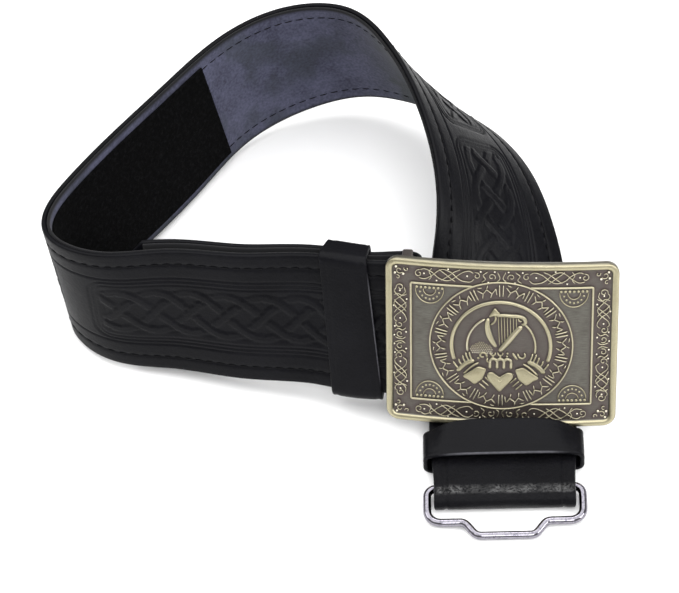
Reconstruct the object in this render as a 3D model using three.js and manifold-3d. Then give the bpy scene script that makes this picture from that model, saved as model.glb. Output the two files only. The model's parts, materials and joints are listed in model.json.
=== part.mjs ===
// Kilt belt lying in a loop: an embossed leather strap with a lining and touch patches, two leather keepers,
// a wire bail folded into one end, and a cast knotwork buckle held on the other end by its rear bar.
// Millimetres, +Z up. The surface is Z = 0, +X runs to the right and +Y runs away from the front.

import * as THREE from 'three';
import Module from 'manifold-3d';
import { mergeVertices } from 'three/addons/utils/BufferGeometryUtils.js';

const wasm = await Module();
wasm.setup();

// Strap sizes
const strapWidth = 57;
const strapEndWidth = 54;
const leatherThickness = 2;
const liningThickness = 1;
const liningInset = 0.5;
const edgeBevel = 0.35;
const pieceGap = 0.3;

// Loop that the strap lies in, measured along its middle line
const loopWidth = 176;
const loopDepth = 204;
const lyingLength = 50;
const lyingHeading = 86;
const stationStep = 7.5;
const foldStep = 22.5;

// Strap end folded round the bail
const endLoopReach = 9;
const turnBackLength = 34;
const endTaperLength = 22;

// Wire bail
const wireDiameter = 3.2;
const bailWidth = 59.4;
const bailShoulderDepth = 14.8;
const bailFrontDepth = 20.7;
const bailFrontWidth = 20.4;
const bailShoulderWidth = 33;
const bailCornerRadius = 3.2;
const bailShoulderRadius = 5;
const wireSides = 8;

// Buckle plate
const plateWidth = 89;
const plateOverlap = 6.5;
const plateThickness = 2.2;
const plateCornerRadius = 5;
const plateBow = 4;
const plateYaw = -8;
const plateLean = 23;
const rimWidth = 2.4;
const rimHeight = 1;
const reliefHeight = 0.7;
const reliefRoot = 0.4;

// Buckle's rear bar and hook
const barInset = 8;
const barDiameter = 4;
const barRoom = 4;
const postThickness = 2;
const postClearance = 1.3;
const hookInset = 8;
const hookWidth = 14;
const hookThickness = 2.4;
const hookReach = 9;
const hookRoom = 5;

// Raised work on the plate
const frameLineInset = 10;
const frameLineWidth = 0.9;
const outerRingDiameter = 55;
const outerRingWidth = 0.8;
const innerRingDiameter = 38.6;
const innerRingWidth = 1.8;
const innerRingOpening = 138;
const haloDiameter = 26.6;
const haloWidth = 0.9;
const knotStrandWidth = 0.8;
const sharpStrandWidth = 0.85;
const borderKnotPitch = 12;
const borderKnotHeight = 4;
const ringKnots = 14;
const ringKnotHeight = 3.4;
const ringBarLength = 2.3;
const ringBarSpacing = 1.4;
const fanWidth = 11;
const fanHeight = 6;
const fanInset = 2;
const stringCount = 7;
const stringWidth = 0.45;

// Touch patches and tail
const patchWidth = 49;
const patchThickness = 1;
const patchBarClearance = 16;
const patchLength = 236;
const tailLength = 112;
const tailPatchEnd = 8;
const tailCornerCut = 9;

// Keepers
const keeperWall = 1.8;
const keeperCornerRadius = 3.4;
const endKeeperWidth = 12.6;
const endKeeperStart = 10.2;
const endKeeperHeadroom = 1.6;
const endKeeperSlack = 0.6;
const nearKeeperWidth = 18.5;
const nearKeeperFromBar = 21.5;
const nearKeeperSkew = 5.5;
const nearKeeperSlack = 0.8;

// Middle line of the strap from where it starts to lift to where it nears the buckle. Across and back are
// shares of loopWidth and loopDepth, lift is a share of strapWidth between the lower edge and the surface,
// and stand is the angle of the strap in degrees, 0 lying with its outer face up and 90 on its edge.
const sections = [
  { across: 0.985, back: 0.405, lift: 0.02, stand: 12 },
  { across: 0.995, back: 0.53, lift: 0.12, stand: 31 },
  { across: 0.98, back: 0.655, lift: 0.25, stand: 40 },
  { across: 0.925, back: 0.79, lift: 0.265, stand: 51 },
  { across: 0.835, back: 0.91, lift: 0.215, stand: 67 },
  { across: 0.715, back: 1.0, lift: 0.16, stand: 83 },
  { across: 0.56, back: 1.01, lift: 0.09, stand: 95 },
  { across: 0.415, back: 0.95, lift: 0.03, stand: 99 },
  { across: 0.3, back: 0.845, lift: 0, stand: 102 },
  { across: 0.075, back: 0.615, lift: 0, stand: 101 },
  { across: 0.01, back: 0.505, lift: 0, stand: 95 },
  { across: 0.105, back: 0.41, lift: 0.035, stand: 84 },
  { across: 0.255, back: 0.38, lift: 0.07, stand: 76 },
  { across: 0.415, back: 0.34, lift: 0.11, stand: 72 },
  { across: 0.58, back: 0.31, lift: 0.15, stand: 68 },
];
const bailBarAcross = 0.955;
const plateAcross = 0.97;
const plateBack = 0.19;

// Sizes that follow from those above
const degree = Math.PI / 180;
const plateHeight = strapWidth + 2 * plateOverlap;
const stackHeight = keeperWall + 2 * leatherThickness + liningThickness + 3 * pieceGap;
const foldHeight = 2 * leatherThickness + wireDiameter + 2 * pieceGap;
const lyingTop = Math.max(stackHeight, foldHeight);
const lyingHeight = lyingTop - leatherThickness - pieceGap / 2;
const leatherOffset = pieceGap / 2 + leatherThickness / 2;
const liningOffset = pieceGap / 2 + liningThickness / 2;
const patchOffset = liningOffset + liningThickness / 2 + pieceGap + patchThickness / 2;

const vector = (x, y, z) => new THREE.Vector3(x, y, z);
const up = vector(0, 0, 1);

// Point reached from an origin by a list of [direction, distance] moves
function reach(origin, ...moves) {
  const point = origin.clone();
  for (const [direction, distance] of moves) point.addScaledVector(direction, distance);
  return point;
}

// Ease from 0 to 1 between two values
function ease(value, from, to) {
  const share = Math.min(Math.max((value - from) / (to - from), 0), 1);
  return share * share * (3 - 2 * share);
}

// Evenly spaced values from one number to another, both included
function spread(from, to, step) {
  const count = Math.max(1, Math.round(Math.abs(to - from) / step));
  return Array.from({ length: count + 1 }, (_, index) => from + ((to - from) * index) / count);
}

// Slopes of the smooth cubic through values at knots, with the slope given at both ends
function splineSlopes(knots, values, startSlope, endSlope) {
  const last = knots.length - 1;
  const gaps = knots.slice(1).map((knot, index) => knot - knots[index]);
  const rises = gaps.map((gap, index) => (values[index + 1] - values[index]) / gap);
  const slopes = [startSlope];
  const carry = [0];
  for (let index = 1; index < last; index++) {
    const before = 1 / gaps[index - 1];
    const after = 1 / gaps[index];
    const target = 3 * (rises[index - 1] * before + rises[index] * after);
    const pivot = 2 * (before + after) - before * carry[index - 1];
    carry.push(after / pivot);
    slopes.push((target - before * slopes[index - 1]) / pivot);
  }
  slopes.push(endSlope);
  for (let index = last - 1; index > 0; index--) slopes[index] -= carry[index] * slopes[index + 1];
  return slopes;
}

// Value of the smooth cubic at a distance along its knots
function splineValue(knots, values, slopes, distance) {
  let index = knots.findIndex((knot) => knot > distance) - 1;
  if (index < 0) index = knots.length - 2;
  const gap = knots[index + 1] - knots[index];
  const share = (distance - knots[index]) / gap;
  const square = share * share;
  const cube = square * share;
  return (
    values[index] * (2 * cube - 3 * square + 1) +
    values[index + 1] * (3 * square - 2 * cube) +
    slopes[index] * gap * (cube - 2 * square + share) +
    slopes[index + 1] * gap * (cube - square)
  );
}

// Frame of the buckle plate: right runs along its width, rise up its height and out from its face
const plateRight = vector(Math.cos(plateYaw * degree), Math.sin(plateYaw * degree), 0);
const plateOut = vector(
  Math.sin(plateYaw * degree) * Math.cos(plateLean * degree),
  -Math.cos(plateYaw * degree) * Math.cos(plateLean * degree),
  Math.sin(plateLean * degree),
);
const plateRise = new THREE.Vector3().crossVectors(plateOut, plateRight);
const plateRadius = (plateWidth * plateWidth) / (8 * plateBow);
const bowAt = (distance) => (distance * distance) / (2 * plateRadius);
const plateCentre = vector(
  plateAcross * loopWidth,
  plateBack * loopDepth,
  lyingTop + pieceGap + (plateHeight / 2) * Math.cos(plateLean * degree) +
    (plateThickness + bowAt(strapWidth / 2)) * Math.sin(plateLean * degree),
);

// Axis of the rear bar behind the plate, and the strap's middle line where it meets the bar
const barAcross = barInset - plateWidth / 2;
const barDepth = bowAt(barAcross) + plateThickness + barRoom + leatherThickness + liningThickness +
  3 * pieceGap + barDiameter / 2;
const barAxis = reach(plateCentre, [plateRight, barAcross], [plateOut, -barDepth]);
const strapRise = postClearance - pieceGap;
const barToMiddle = barDiameter / 2 + pieceGap + liningThickness + pieceGap / 2;
const strapEnd = reach(barAxis, [plateOut, barToMiddle], [plateRise, strapRise]);

// Middle line of the whole strap, as frames at distances from the bail's bar
const lyingDirection = vector(Math.cos(lyingHeading * degree), Math.sin(lyingHeading * degree), 0);
const bailBar = vector(bailBarAcross * loopWidth, 0, lyingHeight);
const barApproach = 14;
const rows = [
  [...reach(bailBar, [lyingDirection, lyingLength]).toArray(), 0],
  ...sections.map(({ across, back, lift, stand }) => [
    across * loopWidth,
    back * loopDepth,
    Math.abs(Math.cos(stand * degree)) * lyingHeight + (Math.sin(stand * degree) / 2 + lift) * strapWidth,
    stand,
  ]),
  [...reach(strapEnd, [plateRight, -barApproach]).toArray(), 90 - plateLean],
];
const knots = [0];
for (let index = 1; index < rows.length; index++) {
  const [x, y, z] = rows[index].map((value, column) => value - rows[index - 1][column]);
  knots.push(knots[index - 1] + Math.hypot(x, y, z));
}
const startSlopes = [...lyingDirection.toArray(), 0];
const endSlopes = [...plateRight.toArray(), 0];
const columns = startSlopes.map((slope, column) => rows.map((row) => row[column]));
const slopes = columns.map((values, column) =>
  splineSlopes(knots, values, startSlopes[column], endSlopes[column]));
const curveLength = knots[knots.length - 1];
const strapLength = lyingLength + curveLength + barApproach;

// Frame of the strap at a distance from the bail's bar: middle point, direction along, direction across from
// the upper or left edge to the lower or right edge, and direction out of the outer face
function strapFrame(distance) {
  const onCurve = Math.min(Math.max(distance - lyingLength, 0), curveLength);
  const values = columns.map((column, index) => splineValue(knots, column, slopes[index], onCurve));
  const nudge = 0.01;
  const from = Math.max(onCurve - nudge, 0);
  const to = Math.min(onCurve + nudge, curveLength);
  const along = vector(...[0, 1, 2].map((index) =>
    splineValue(knots, columns[index], slopes[index], to) -
    splineValue(knots, columns[index], slopes[index], from))).normalize();
  const overhang = distance - lyingLength - onCurve;
  const middle = reach(vector(...values.slice(0, 3)), [along, overhang]);
  const rise = up.clone().addScaledVector(along, -along.z).normalize();
  const side = new THREE.Vector3().crossVectors(along, rise);
  const stand = values[3] * degree;
  const across = side.multiplyScalar(Math.cos(stand)).addScaledVector(rise, -Math.sin(stand));
  const out = new THREE.Vector3().crossVectors(across, along);
  return { middle, along, across, out };
}

// The same closed geometry with its triangles turned, if needed, so that they face out
function facingOut(geometry) {
  const position = geometry.attributes.position;
  const index = geometry.index.array;
  const corner = (at) => new THREE.Vector3().fromBufferAttribute(position, index[at]);
  const origin = corner(0);
  let volume = 0;
  for (let at = 0; at < index.length; at += 3) {
    const [a, b, c] = [at, at + 1, at + 2].map((place) => corner(place).sub(origin));
    volume += a.dot(b.cross(c));
  }
  if (volume < 0) {
    for (let at = 0; at < index.length; at += 3) [index[at], index[at + 1]] = [index[at + 1], index[at]];
  }
  return geometry;
}

// Closed BufferGeometry from rings of points of equal count, joined in order, with capped or joined ends.
// Each four-sided face is split along its shorter diagonal, so that layers side by side are split alike.
function ringsGeometry(rings, closed = false) {
  const count = rings[0].length;
  const positions = rings.flatMap((ring) => ring.flatMap((point) => point.toArray()));
  const triangles = [];
  const joints = closed ? rings.length : rings.length - 1;
  for (let ring = 0; ring < joints; ring++) {
    const here = ring * count;
    const next = ((ring + 1) % rings.length) * count;
    for (let index = 0; index < count; index++) {
      const other = (index + 1) % count;
      const forward = rings[ring][index].distanceTo(rings[(ring + 1) % rings.length][other]);
      const backward = rings[ring][other].distanceTo(rings[(ring + 1) % rings.length][index]);
      triangles.push(...(forward < backward
        ? [here + index, here + other, next + other, here + index, next + other, next + index]
        : [here + index, here + other, next + index, here + other, next + other, next + index]));
    }
  }
  if (!closed) {
    const end = (rings.length - 1) * count;
    for (let index = 1; index < count - 1; index++) {
      triangles.push(0, index + 1, index, end, end + index, end + index + 1);
    }
  }
  const geometry = new THREE.BufferGeometry();
  geometry.setAttribute('position', new THREE.Float32BufferAttribute(positions, 3));
  geometry.setIndex(triangles);
  return facingOut(geometry);
}

// Strip of leather: stations hold the middle, the across and out directions and the two edges' distances
function strip(stations, thickness, bevel) {
  const half = thickness / 2;
  return ringsGeometry(stations.map(({ middle, across, out, low, high }) => {
    const corner = (width, height) => reach(middle, [across, width], [out, height]);
    if (bevel === 0) return [corner(low, -half), corner(high, -half), corner(high, half), corner(low, half)];
    return [
      corner(low, -half), corner(high, -half), corner(high, half - bevel),
      corner(high - bevel, half), corner(low + bevel, half), corner(low, half - bevel),
    ];
  }));
}

// Distances at which every layer of the strap is bent alike, with the two ends of a stretch added
const bends = spread(lyingLength, strapLength, stationStep);
function stretch(from, to) {
  const margin = stationStep / 4;
  return [from, ...bends.filter((distance) => distance > from + margin && distance < to - margin), to];
}

// The same along the tail, measured from the rear bar
function tailStretch(from, to) {
  return stretch(strapLength - to, strapLength - from).reverse().map((distance) => strapLength - distance);
}

// Station of a layer that lies at an offset from the strap's middle line
function layerStation(distance, offset, width) {
  const { middle, across, out } = strapFrame(distance);
  return { middle: reach(middle, [out, offset]), across, out, low: -width / 2, high: width / 2 };
}

// Stations of a layer round the buckle's rear bar, from its front to its back
function barFoldStations(radius, width) {
  const across = plateRise.clone().negate();
  return spread(0, 180, foldStep).slice(1, -1).map((angle) => {
    const out = reach(vector(0, 0, 0),
      [plateOut, Math.cos(angle * degree)],
      [plateRight, Math.sin(angle * degree)]);
    const middle = reach(barAxis, [out, radius], [plateRise, strapRise]);
    return { middle, across, out, low: -width / 2, high: width / 2 };
  });
}

// Station of a tail layer: the tail turns back behind the near stretch and faces the other way
const tailMiddle = 2 * patchOffset + patchThickness + pieceGap;
function tailDepth(fromBar) {
  return 2 * barToMiddle + (tailMiddle - 2 * barToMiddle) * ease(fromBar, 0, patchBarClearance);
}

function tailStation(fromBar, layerOffset, width, cut) {
  const { middle, across, out } = strapFrame(strapLength - fromBar);
  return {
    middle: reach(middle, [out, -tailDepth(fromBar) - layerOffset]),
    across,
    out: out.clone().negate(),
    low: cut - width / 2,
    high: width / 2,
  };
}

// Outer leather: turned back under the bail's bar, along the loop, round the rear bar and back as the tail
function strapLeather() {
  const foldRadius = (wireDiameter + 2 * pieceGap + leatherThickness) / 2;
  const slotOffset = leatherOffset - foldRadius;
  const foldStart = foldRadius + leatherThickness / 2 - endLoopReach;
  const widthAt = (distance) =>
    strapEndWidth + (strapWidth - strapEndWidth) * ease(distance, 0, endTaperLength);
  const underOffset = -liningOffset - liningThickness / 2 - pieceGap - leatherThickness / 2;
  const turnedBack = spread(turnBackLength, foldStart, stationStep).map((distance) => {
    const share = ease(distance, wireDiameter, wireDiameter + endLoopReach);
    const sink = (slotOffset - foldRadius - underOffset) * (1 - share);
    const station = layerStation(distance, underOffset + sink, widthAt(distance) - 2 * liningInset);
    return { ...station, out: station.out.clone().negate() };
  });
  const half = strapEndWidth / 2;
  const start = strapFrame(foldStart);
  const fold = spread(0, 180, foldStep).slice(1, -1).map((angle) => {
    const lean = reach(vector(0, 0, 0),
      [start.out, -Math.cos(angle * degree)],
      [start.along, -Math.sin(angle * degree)]);
    const middle = reach(start.middle, [start.out, slotOffset], [lean, foldRadius]);
    return { middle, across: start.across, out: lean, low: -half, high: half };
  });
  const flat = spread(foldStart, lyingLength, stationStep).map((distance) =>
    layerStation(distance, leatherOffset, widthAt(distance)));
  const loop = stretch(lyingLength, strapLength).slice(1).map((distance) =>
    layerStation(distance, leatherOffset, strapWidth));
  const bend = barFoldStations(barToMiddle + leatherOffset, strapWidth);
  const tail = [...tailStretch(0, tailLength - tailCornerCut), tailLength].map((fromBar) =>
    tailStation(fromBar, leatherOffset, strapWidth, Math.max(fromBar + tailCornerCut - tailLength, 0)));
  return strip([...turnedBack, ...fold, ...flat, ...loop, ...bend, ...tail], leatherThickness, edgeBevel);
}

// Lining on the inner face, from behind the bail round the rear bar to near the end of the tail
function strapLining() {
  const width = strapWidth - 2 * liningInset;
  const narrow = strapEndWidth - 2 * liningInset;
  const flat = spread(endLoopReach, lyingLength, stationStep).map((distance) =>
    layerStation(distance, -liningOffset, narrow + (width - narrow) * ease(distance, 0, endTaperLength)));
  const loop = stretch(lyingLength, strapLength).slice(1).map((distance) =>
    layerStation(distance, -liningOffset, width));
  const bend = barFoldStations(barToMiddle - liningOffset, width);
  const tail = tailStretch(0, tailLength - tailCornerCut - liningInset).map((fromBar) =>
    tailStation(fromBar, -liningOffset, width, 0));
  return strip([...flat, ...loop, ...bend, ...tail], liningThickness, 0);
}

// Long touch patch on the lining, from near the rear bar round the left turn
function nearPatch() {
  const end = strapLength - patchBarClearance;
  return strip(stretch(end - patchLength, end).map((distance) =>
    layerStation(distance, -patchOffset, patchWidth)), patchThickness, 0);
}

// Short touch patch on the tail, pressed on the long one
function tailPatch() {
  return strip(tailStretch(patchBarClearance, tailLength - tailCornerCut - tailPatchEnd).map((fromBar) =>
    tailStation(fromBar, -patchOffset, patchWidth, 0)), patchThickness, 0);
}

// Indexed geometry with only positions, its equal points merged
function welded(geometry) {
  geometry.deleteAttribute('normal');
  geometry.deleteAttribute('uv');
  return mergeVertices(geometry, 1e-4);
}

// Leather loop that follows the strap it goes round. Half is the hollow's reach across the strap, and floorAt
// and roof its limits inward and outward. A skew sets the lower edge farther along than the upper one.
function keeper({ distance, width, skew, half, floorAt, roof }) {
  const bend = keeperCornerRadius - keeperWall;
  const corners = [[1, 1, 0], [-1, 1, 90], [-1, -1, 180], [1, -1, 270]];
  const turns = corners.flatMap(([side, level, from]) =>
    spread(from, from + 90, 30).map((angle) => ({ side, level, angle })));
  return ringsGeometry(turns.map(({ side, level, angle }) => {
    const point = (offset, radius) => {
      const x = side * (half - bend) + radius * Math.cos(angle * degree);
      const at = distance + offset + (skew * x) / strapWidth;
      const { middle, across, out } = strapFrame(at);
      const y = (level > 0 ? roof - bend : floorAt(at) + bend) + radius * Math.sin(angle * degree);
      return reach(middle, [across, x], [out, y]);
    };
    const offsets = spread(-width / 2, width / 2, stationStep);
    return [
      ...offsets.map((offset) => point(offset, keeperCornerRadius)),
      ...offsets.reverse().map((offset) => point(offset, bend)),
    ];
  }), true);
}

// Plain wide keeper on the lying end, standing a little above the strap
function endKeeper() {
  return keeper({
    distance: endKeeperStart + endKeeperWidth / 2,
    width: endKeeperWidth,
    skew: 0,
    half: strapWidth / 2 + endKeeperSlack,
    floorAt: () => keeperWall - lyingHeight,
    roof: leatherThickness + pieceGap / 2 + endKeeperHeadroom,
  });
}

// Keeper round the near stretch and the tail behind it
function nearKeeper() {
  return keeper({
    distance: strapLength - nearKeeperFromBar,
    width: nearKeeperWidth,
    skew: nearKeeperSkew,
    half: strapWidth / 2 + nearKeeperSlack,
    floorAt: (at) => -tailDepth(strapLength - at) - leatherThickness - pieceGap / 2 - nearKeeperSlack,
    roof: leatherThickness + pieceGap / 2 + nearKeeperSlack,
  });
}

// Axis of the bail's bar inside the folded leather, and the slope at which the bail lies on the surface
const wireRadius = wireDiameter / 2;
const bailAxis = reach(bailBar, [up, -pieceGap / 2 - wireRadius]);
const bailSlope = Math.asin((bailAxis.z - wireRadius) / bailFrontDepth);

// Middle line of the bail's wire in its own plane: across the strap and forward from its bar
function bailRoute() {
  const half = bailWidth / 2;
  const corner = (x, y, radius, from, to) => spread(from, to, 30).map((angle) => [
    x + radius * Math.cos(angle * degree),
    y + radius * Math.sin(angle * degree),
  ]);
  const shoulderEnd = bailShoulderWidth / 2;
  const frontEnd = bailFrontWidth / 2;
  const step = spread(0, 1, 0.2).map((share) => [
    shoulderEnd + (frontEnd - shoulderEnd) * share,
    bailShoulderDepth + (bailFrontDepth - bailShoulderDepth) * ease(share, 0, 1),
  ]);
  const side = [
    [half / 3, 0],
    ...corner(half - bailCornerRadius, bailCornerRadius, bailCornerRadius, -90, 0),
    ...corner(half - bailShoulderRadius, bailShoulderDepth - bailShoulderRadius, bailShoulderRadius, 0, 90),
    ...step,
    [frontEnd / 2, bailFrontDepth],
  ];
  const mirrored = side.map(([x, y]) => [-x, y]).reverse();
  return [...side, ...mirrored];
}

// Wire bail lying on the surface, its bar held in the fold of the strap's end
function wireBail() {
  const across = strapFrame(0).across;
  const forward = lyingDirection.clone().negate().multiplyScalar(Math.cos(bailSlope))
    .addScaledVector(up, -Math.sin(bailSlope));
  const normal = new THREE.Vector3().crossVectors(across, forward);
  const route = bailRoute();
  const rings = route.map(([x, y], index) => {
    const [beforeX, beforeY] = route[(index + route.length - 1) % route.length];
    const [afterX, afterY] = route[(index + 1) % route.length];
    const run = Math.hypot(afterX - beforeX, afterY - beforeY);
    const outward = [(afterY - beforeY) / run, (beforeX - afterX) / run];
    return spread(0, 360, 360 / wireSides).slice(1).map((angle) => {
      const aside = wireRadius * Math.cos(angle * degree);
      const lift = wireRadius * Math.sin(angle * degree);
      return reach(bailAxis,
        [across, x + outward[0] * aside],
        [forward, y + outward[1] * aside],
        [normal, lift]);
    });
  });
  return ringsGeometry(rings, true);
}

// Point on the bowed plate: distance right of its middle, distance up and height out of its face
function onPlate(right, rise, height) {
  const angle = right / plateRadius;
  const arm = plateRadius + height;
  return reach(plateCentre,
    [plateRight, arm * Math.sin(angle)],
    [plateRise, rise],
    [plateOut, arm * Math.cos(angle) - plateRadius]);
}

// Closed mesh turned into a solid for joining and cutting
function solid(geometry) {
  const mesh = new wasm.Mesh({
    numProp: 3,
    vertProperties: new Float32Array(geometry.attributes.position.array),
    triVerts: new Uint32Array(geometry.index.array),
  });
  return new wasm.Manifold(mesh);
}

// Panel of the bowed plate with round corners, between two heights out of its face
function platePanel(width, height, radius, from, to) {
  const half = width / 2;
  const corner = spread(0, 90, 18).map((angle) => angle * degree);
  const ends = corner.map((angle) => [
    half - radius + radius * Math.sin(angle),
    height / 2 - radius + radius * Math.cos(angle),
  ]);
  const middle = spread(-half + radius, half - radius, stationStep).slice(1, -1)
    .map((right) => [right, height / 2]);
  const outline = [...ends.map(([right, rise]) => [-right, rise]).reverse(), ...middle, ...ends];
  return ringsGeometry(outline.map(([right, rise]) => [
    onPlate(right, -rise, from),
    onPlate(right, rise, from),
    onPlate(right, rise, to),
    onPlate(right, -rise, to),
  ]));
}

// Raised strand on the plate along a route of [right, rise] points, sharp when thin and flat on top when wide
function strand(route, width, height = reliefHeight, closed = false) {
  const last = route.length - 1;
  const crest = width > sharpStrandWidth ? [0.32, -0.32] : [0];
  return ringsGeometry(route.map(([right, rise], index) => {
    const before = route[closed ? (index + last) % route.length : Math.max(index - 1, 0)];
    const after = route[closed ? (index + 1) % route.length : Math.min(index + 1, last)];
    const run = Math.hypot(after[0] - before[0], after[1] - before[1]);
    const side = [(before[1] - after[1]) / run, (after[0] - before[0]) / run];
    const point = (share, level) =>
      onPlate(right + side[0] * width * share, rise + side[1] * width * share, level);
    return [point(-0.5, -reliefRoot), point(0.5, -reliefRoot), ...crest.map((share) => point(share, height))];
  }), closed);
}

// Raised flat figure on the plate inside a closed outline of [right, rise] points
function figure(outline, height = reliefHeight) {
  const shape = new THREE.Shape(outline.map(([right, rise]) => new THREE.Vector2(right, rise)));
  const depth = height + reliefRoot;
  const geometry = welded(new THREE.ExtrudeGeometry(shape, { depth, bevelEnabled: false }));
  const position = geometry.attributes.position;
  for (let index = 0; index < position.count; index++) {
    const [right, rise, level] = [position.getX(index), position.getY(index), position.getZ(index)];
    position.setXYZ(index, ...onPlate(right, rise, level - reliefRoot).toArray());
  }
  return facingOut(geometry);
}

// Points of an arc about a middle, angles in degrees from the right
const arc = (right, rise, radius, from, to, step) => spread(from, to, step).map((angle) => [
  right + radius * Math.cos(angle * degree),
  rise + radius * Math.sin(angle * degree),
]);

// Two strands that weave along each border of the plate
function borderKnots() {
  const bandMiddle = (rimWidth + frameLineInset) / 2;
  const borders = [
    { length: plateWidth, distance: plateHeight / 2 - bandMiddle, upright: false },
    { length: plateHeight, distance: plateWidth / 2 - bandMiddle, upright: true },
  ];
  return borders.flatMap(({ length, distance, upright }) => {
    const run = length - 2 * frameLineInset - plateCornerRadius;
    const waves = Math.max(1, Math.round(run / borderKnotPitch));
    return [-1, 1].flatMap((side) => [-1, 1].map((lean) => {
      const route = spread(-run / 2, run / 2, run / waves / 3).map((place) => {
        const swing = lean * (borderKnotHeight / 2) * Math.cos((place / run + 0.5) * Math.PI * waves);
        return upright ? [side * distance + swing, place] : [place, side * distance + swing];
      });
      return strand(route, knotStrandWidth);
    }));
  });
}

// Two woven strands between the two rings, with paired bars in their eyes
function ringKnotsGeometries() {
  const radius = (outerRingDiameter - 2 * outerRingWidth + innerRingDiameter) / 4;
  const weave = [-1, 1].map((lean) => strand(spread(0, 360, 180 / ringKnots).slice(0, -1).map((angle) => {
    const swing = radius + lean * (ringKnotHeight / 2) * Math.cos((angle * ringKnots * degree) / 2);
    return [swing * Math.cos(angle * degree), swing * Math.sin(angle * degree)];
  }), knotStrandWidth, reliefHeight, true));
  const bars = spread(0, 360, 360 / ringKnots).slice(0, -1).flatMap((angle) => [-0.5, 0.5].map((share) => {
    const turn = angle * degree + (share * ringBarSpacing) / radius;
    const end = (distance) => [distance * Math.cos(turn), distance * Math.sin(turn)];
    return strand([end(radius - ringBarLength / 2), end(radius + ringBarLength / 2)], knotStrandWidth);
  }));
  return [...weave, ...bars];
}

// Half-round fans in the corners of the frame line, flat side toward the nearer edge
function cornerFans() {
  const right = plateWidth / 2 - frameLineInset - fanInset - fanWidth / 2;
  const rise = plateHeight / 2 - frameLineInset - fanInset;
  const spokes = [45, 90, 135];
  return [-1, 1].flatMap((across) => [-1, 1].flatMap((above) => {
    const at = (angle, share) => [
      across * right + (fanWidth / 2) * share * Math.cos(angle * degree),
      above * (rise - fanHeight * share * Math.sin(angle * degree)),
    ];
    const rim = spread(0, 180, 30).map((angle) => at(angle, 1));
    return [
      strand(rim, knotStrandWidth, reliefHeight, true),
      ...spokes.map((angle) => strand([at(angle, 0.3), at(angle, 0.85)], knotStrandWidth / 2)),
    ];
  }));
}

// Harp above the middle of the plate: curved pillar, neck, sound box and strings
function harp() {
  const pillar = [
    [-2.6, 15.4], [-3.3, 13.2], [-4.9, 11.4], [-5.3, 8.8], [-4.8, 5.8], [-3.7, 3], [-1.8, 0], [-1, -1.4],
  ];
  const neck = [[-3.4, 13.6], [-0.4, 13.8], [2.8, 13], [5.8, 13.5], [8.2, 12.9], [9.4, 11.4], [8.6, 10]];
  const boxTop = [7, 8.6];
  const boxFoot = [-1.2, -1.8];
  const strings = spread(-1.3, 6, 7.3 / (stringCount - 1)).map((right) => {
    const share = (right - boxFoot[0]) / (boxTop[0] - boxFoot[0]);
    return strand([[right, boxFoot[1] + share * (boxTop[1] - boxFoot[1])], [right, 13.4]], stringWidth);
  });
  return [strand(pillar, 1.7), strand(neck, 1.5), strand([boxFoot, boxTop], 2.1), ...strings];
}

// Crown over the heart: a base, three arches and five beads
function crown() {
  const base = strand([[-4.8, -9.4], [4.8, -9.4]], 1);
  const arches = [-3.2, 0, 3.2].map((right) => strand(arc(right, -8.6, 1.5, 180, 0, 36), 0.8));
  const beads = spread(-6.4, 6.4, 3.2).map((right) => figure(arc(right, -4.6, 0.75, 0, 315, 45)));
  return [base, ...arches, ...beads];
}

// Heart between the hands
function heart() {
  const half = [[0, -12.6], [1.2, -11.6], [2.7, -11.3], [4.2, -11.9], [4.7, -13.3], [4.1, -14.9], [2.3, -17]];
  const mirrored = half.slice(1).map(([right, rise]) => [-right, rise]).reverse();
  return figure([...half, [0, -19.3], ...mirrored]);
}

// Two cuffed hands that hold the heart, drawn for the right side and mirrored
function hands() {
  const palm = [[14.6, -13.3], [9.4, -9.8], [6.1, -11], [6.2, -14.6], [9.2, -16.4], [11, -16.2]];
  const moved = (points, row, [right, rise]) => points.map(([x, y]) => [x + row * right, y + row * rise]);
  const finger = [[8.9, -16.9], [5.6, -15.6]];
  const fingers = [0, 1, 2, 3].map((row) => moved(finger, row, [-1.3, -1]));
  const cuff = [[8, -8.4], [12.2, -9.3], [15.4, -12]];
  const cuffs = [0, 1].map((row) => moved(cuff, row, [1, 1.2]));
  const fold = [[12, -6.6], [11, -3.9]];
  const frill = [0, 1, 2, 3].map((row) => moved(fold, row, [1.7, -1]));
  return [1, -1].flatMap((side) => {
    const mirror = (points) => points.map(([right, rise]) => [side * right, rise]);
    return [
      figure(mirror(palm)),
      ...fingers.map((line) => strand(mirror(line), 0.7)),
      ...cuffs.map((line) => strand(mirror(line), 0.8)),
      ...frill.map((line) => strand(mirror(line), 0.8)),
    ];
  });
}

// Lines and rings that divide the plate
function dividers() {
  const right = plateWidth / 2 - frameLineInset;
  const rise = plateHeight / 2 - frameLineInset;
  const ringRadius = (outerRingDiameter - outerRingWidth) / 2;
  const ringHalf = rise < ringRadius ? Math.sqrt(ringRadius * ringRadius - rise * rise) : 0;
  const frames = [-1, 1].map((side) => {
    const top = spread(ringHalf, right, stationStep).map((place) => [side * place, rise]);
    const down = spread(rise, -rise, 2 * rise).slice(1, -1).map((place) => [side * right, place]);
    const bottom = top.map(([place]) => [place, -rise]).reverse();
    return strand([...top, ...down, ...bottom], frameLineWidth);
  });
  const ring = strand(arc(0, 0, ringRadius, 0, 352, 8), outerRingWidth, reliefHeight, true);
  const gap = innerRingOpening / 2;
  const innerRadius = (innerRingDiameter - innerRingWidth) / 2;
  const inner = strand(arc(0, 0, innerRadius, gap - 90, 270 - gap, 9), innerRingWidth);
  const haloRadius = haloDiameter / 2;
  const halo = [arc(0, 0, haloRadius, -15, 51, 11), arc(0, 0, haloRadius, 121, 196, 12.5)];
  return [...frames, ring, inner, ...halo.map((route) => strand(route, haloWidth))];
}

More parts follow.
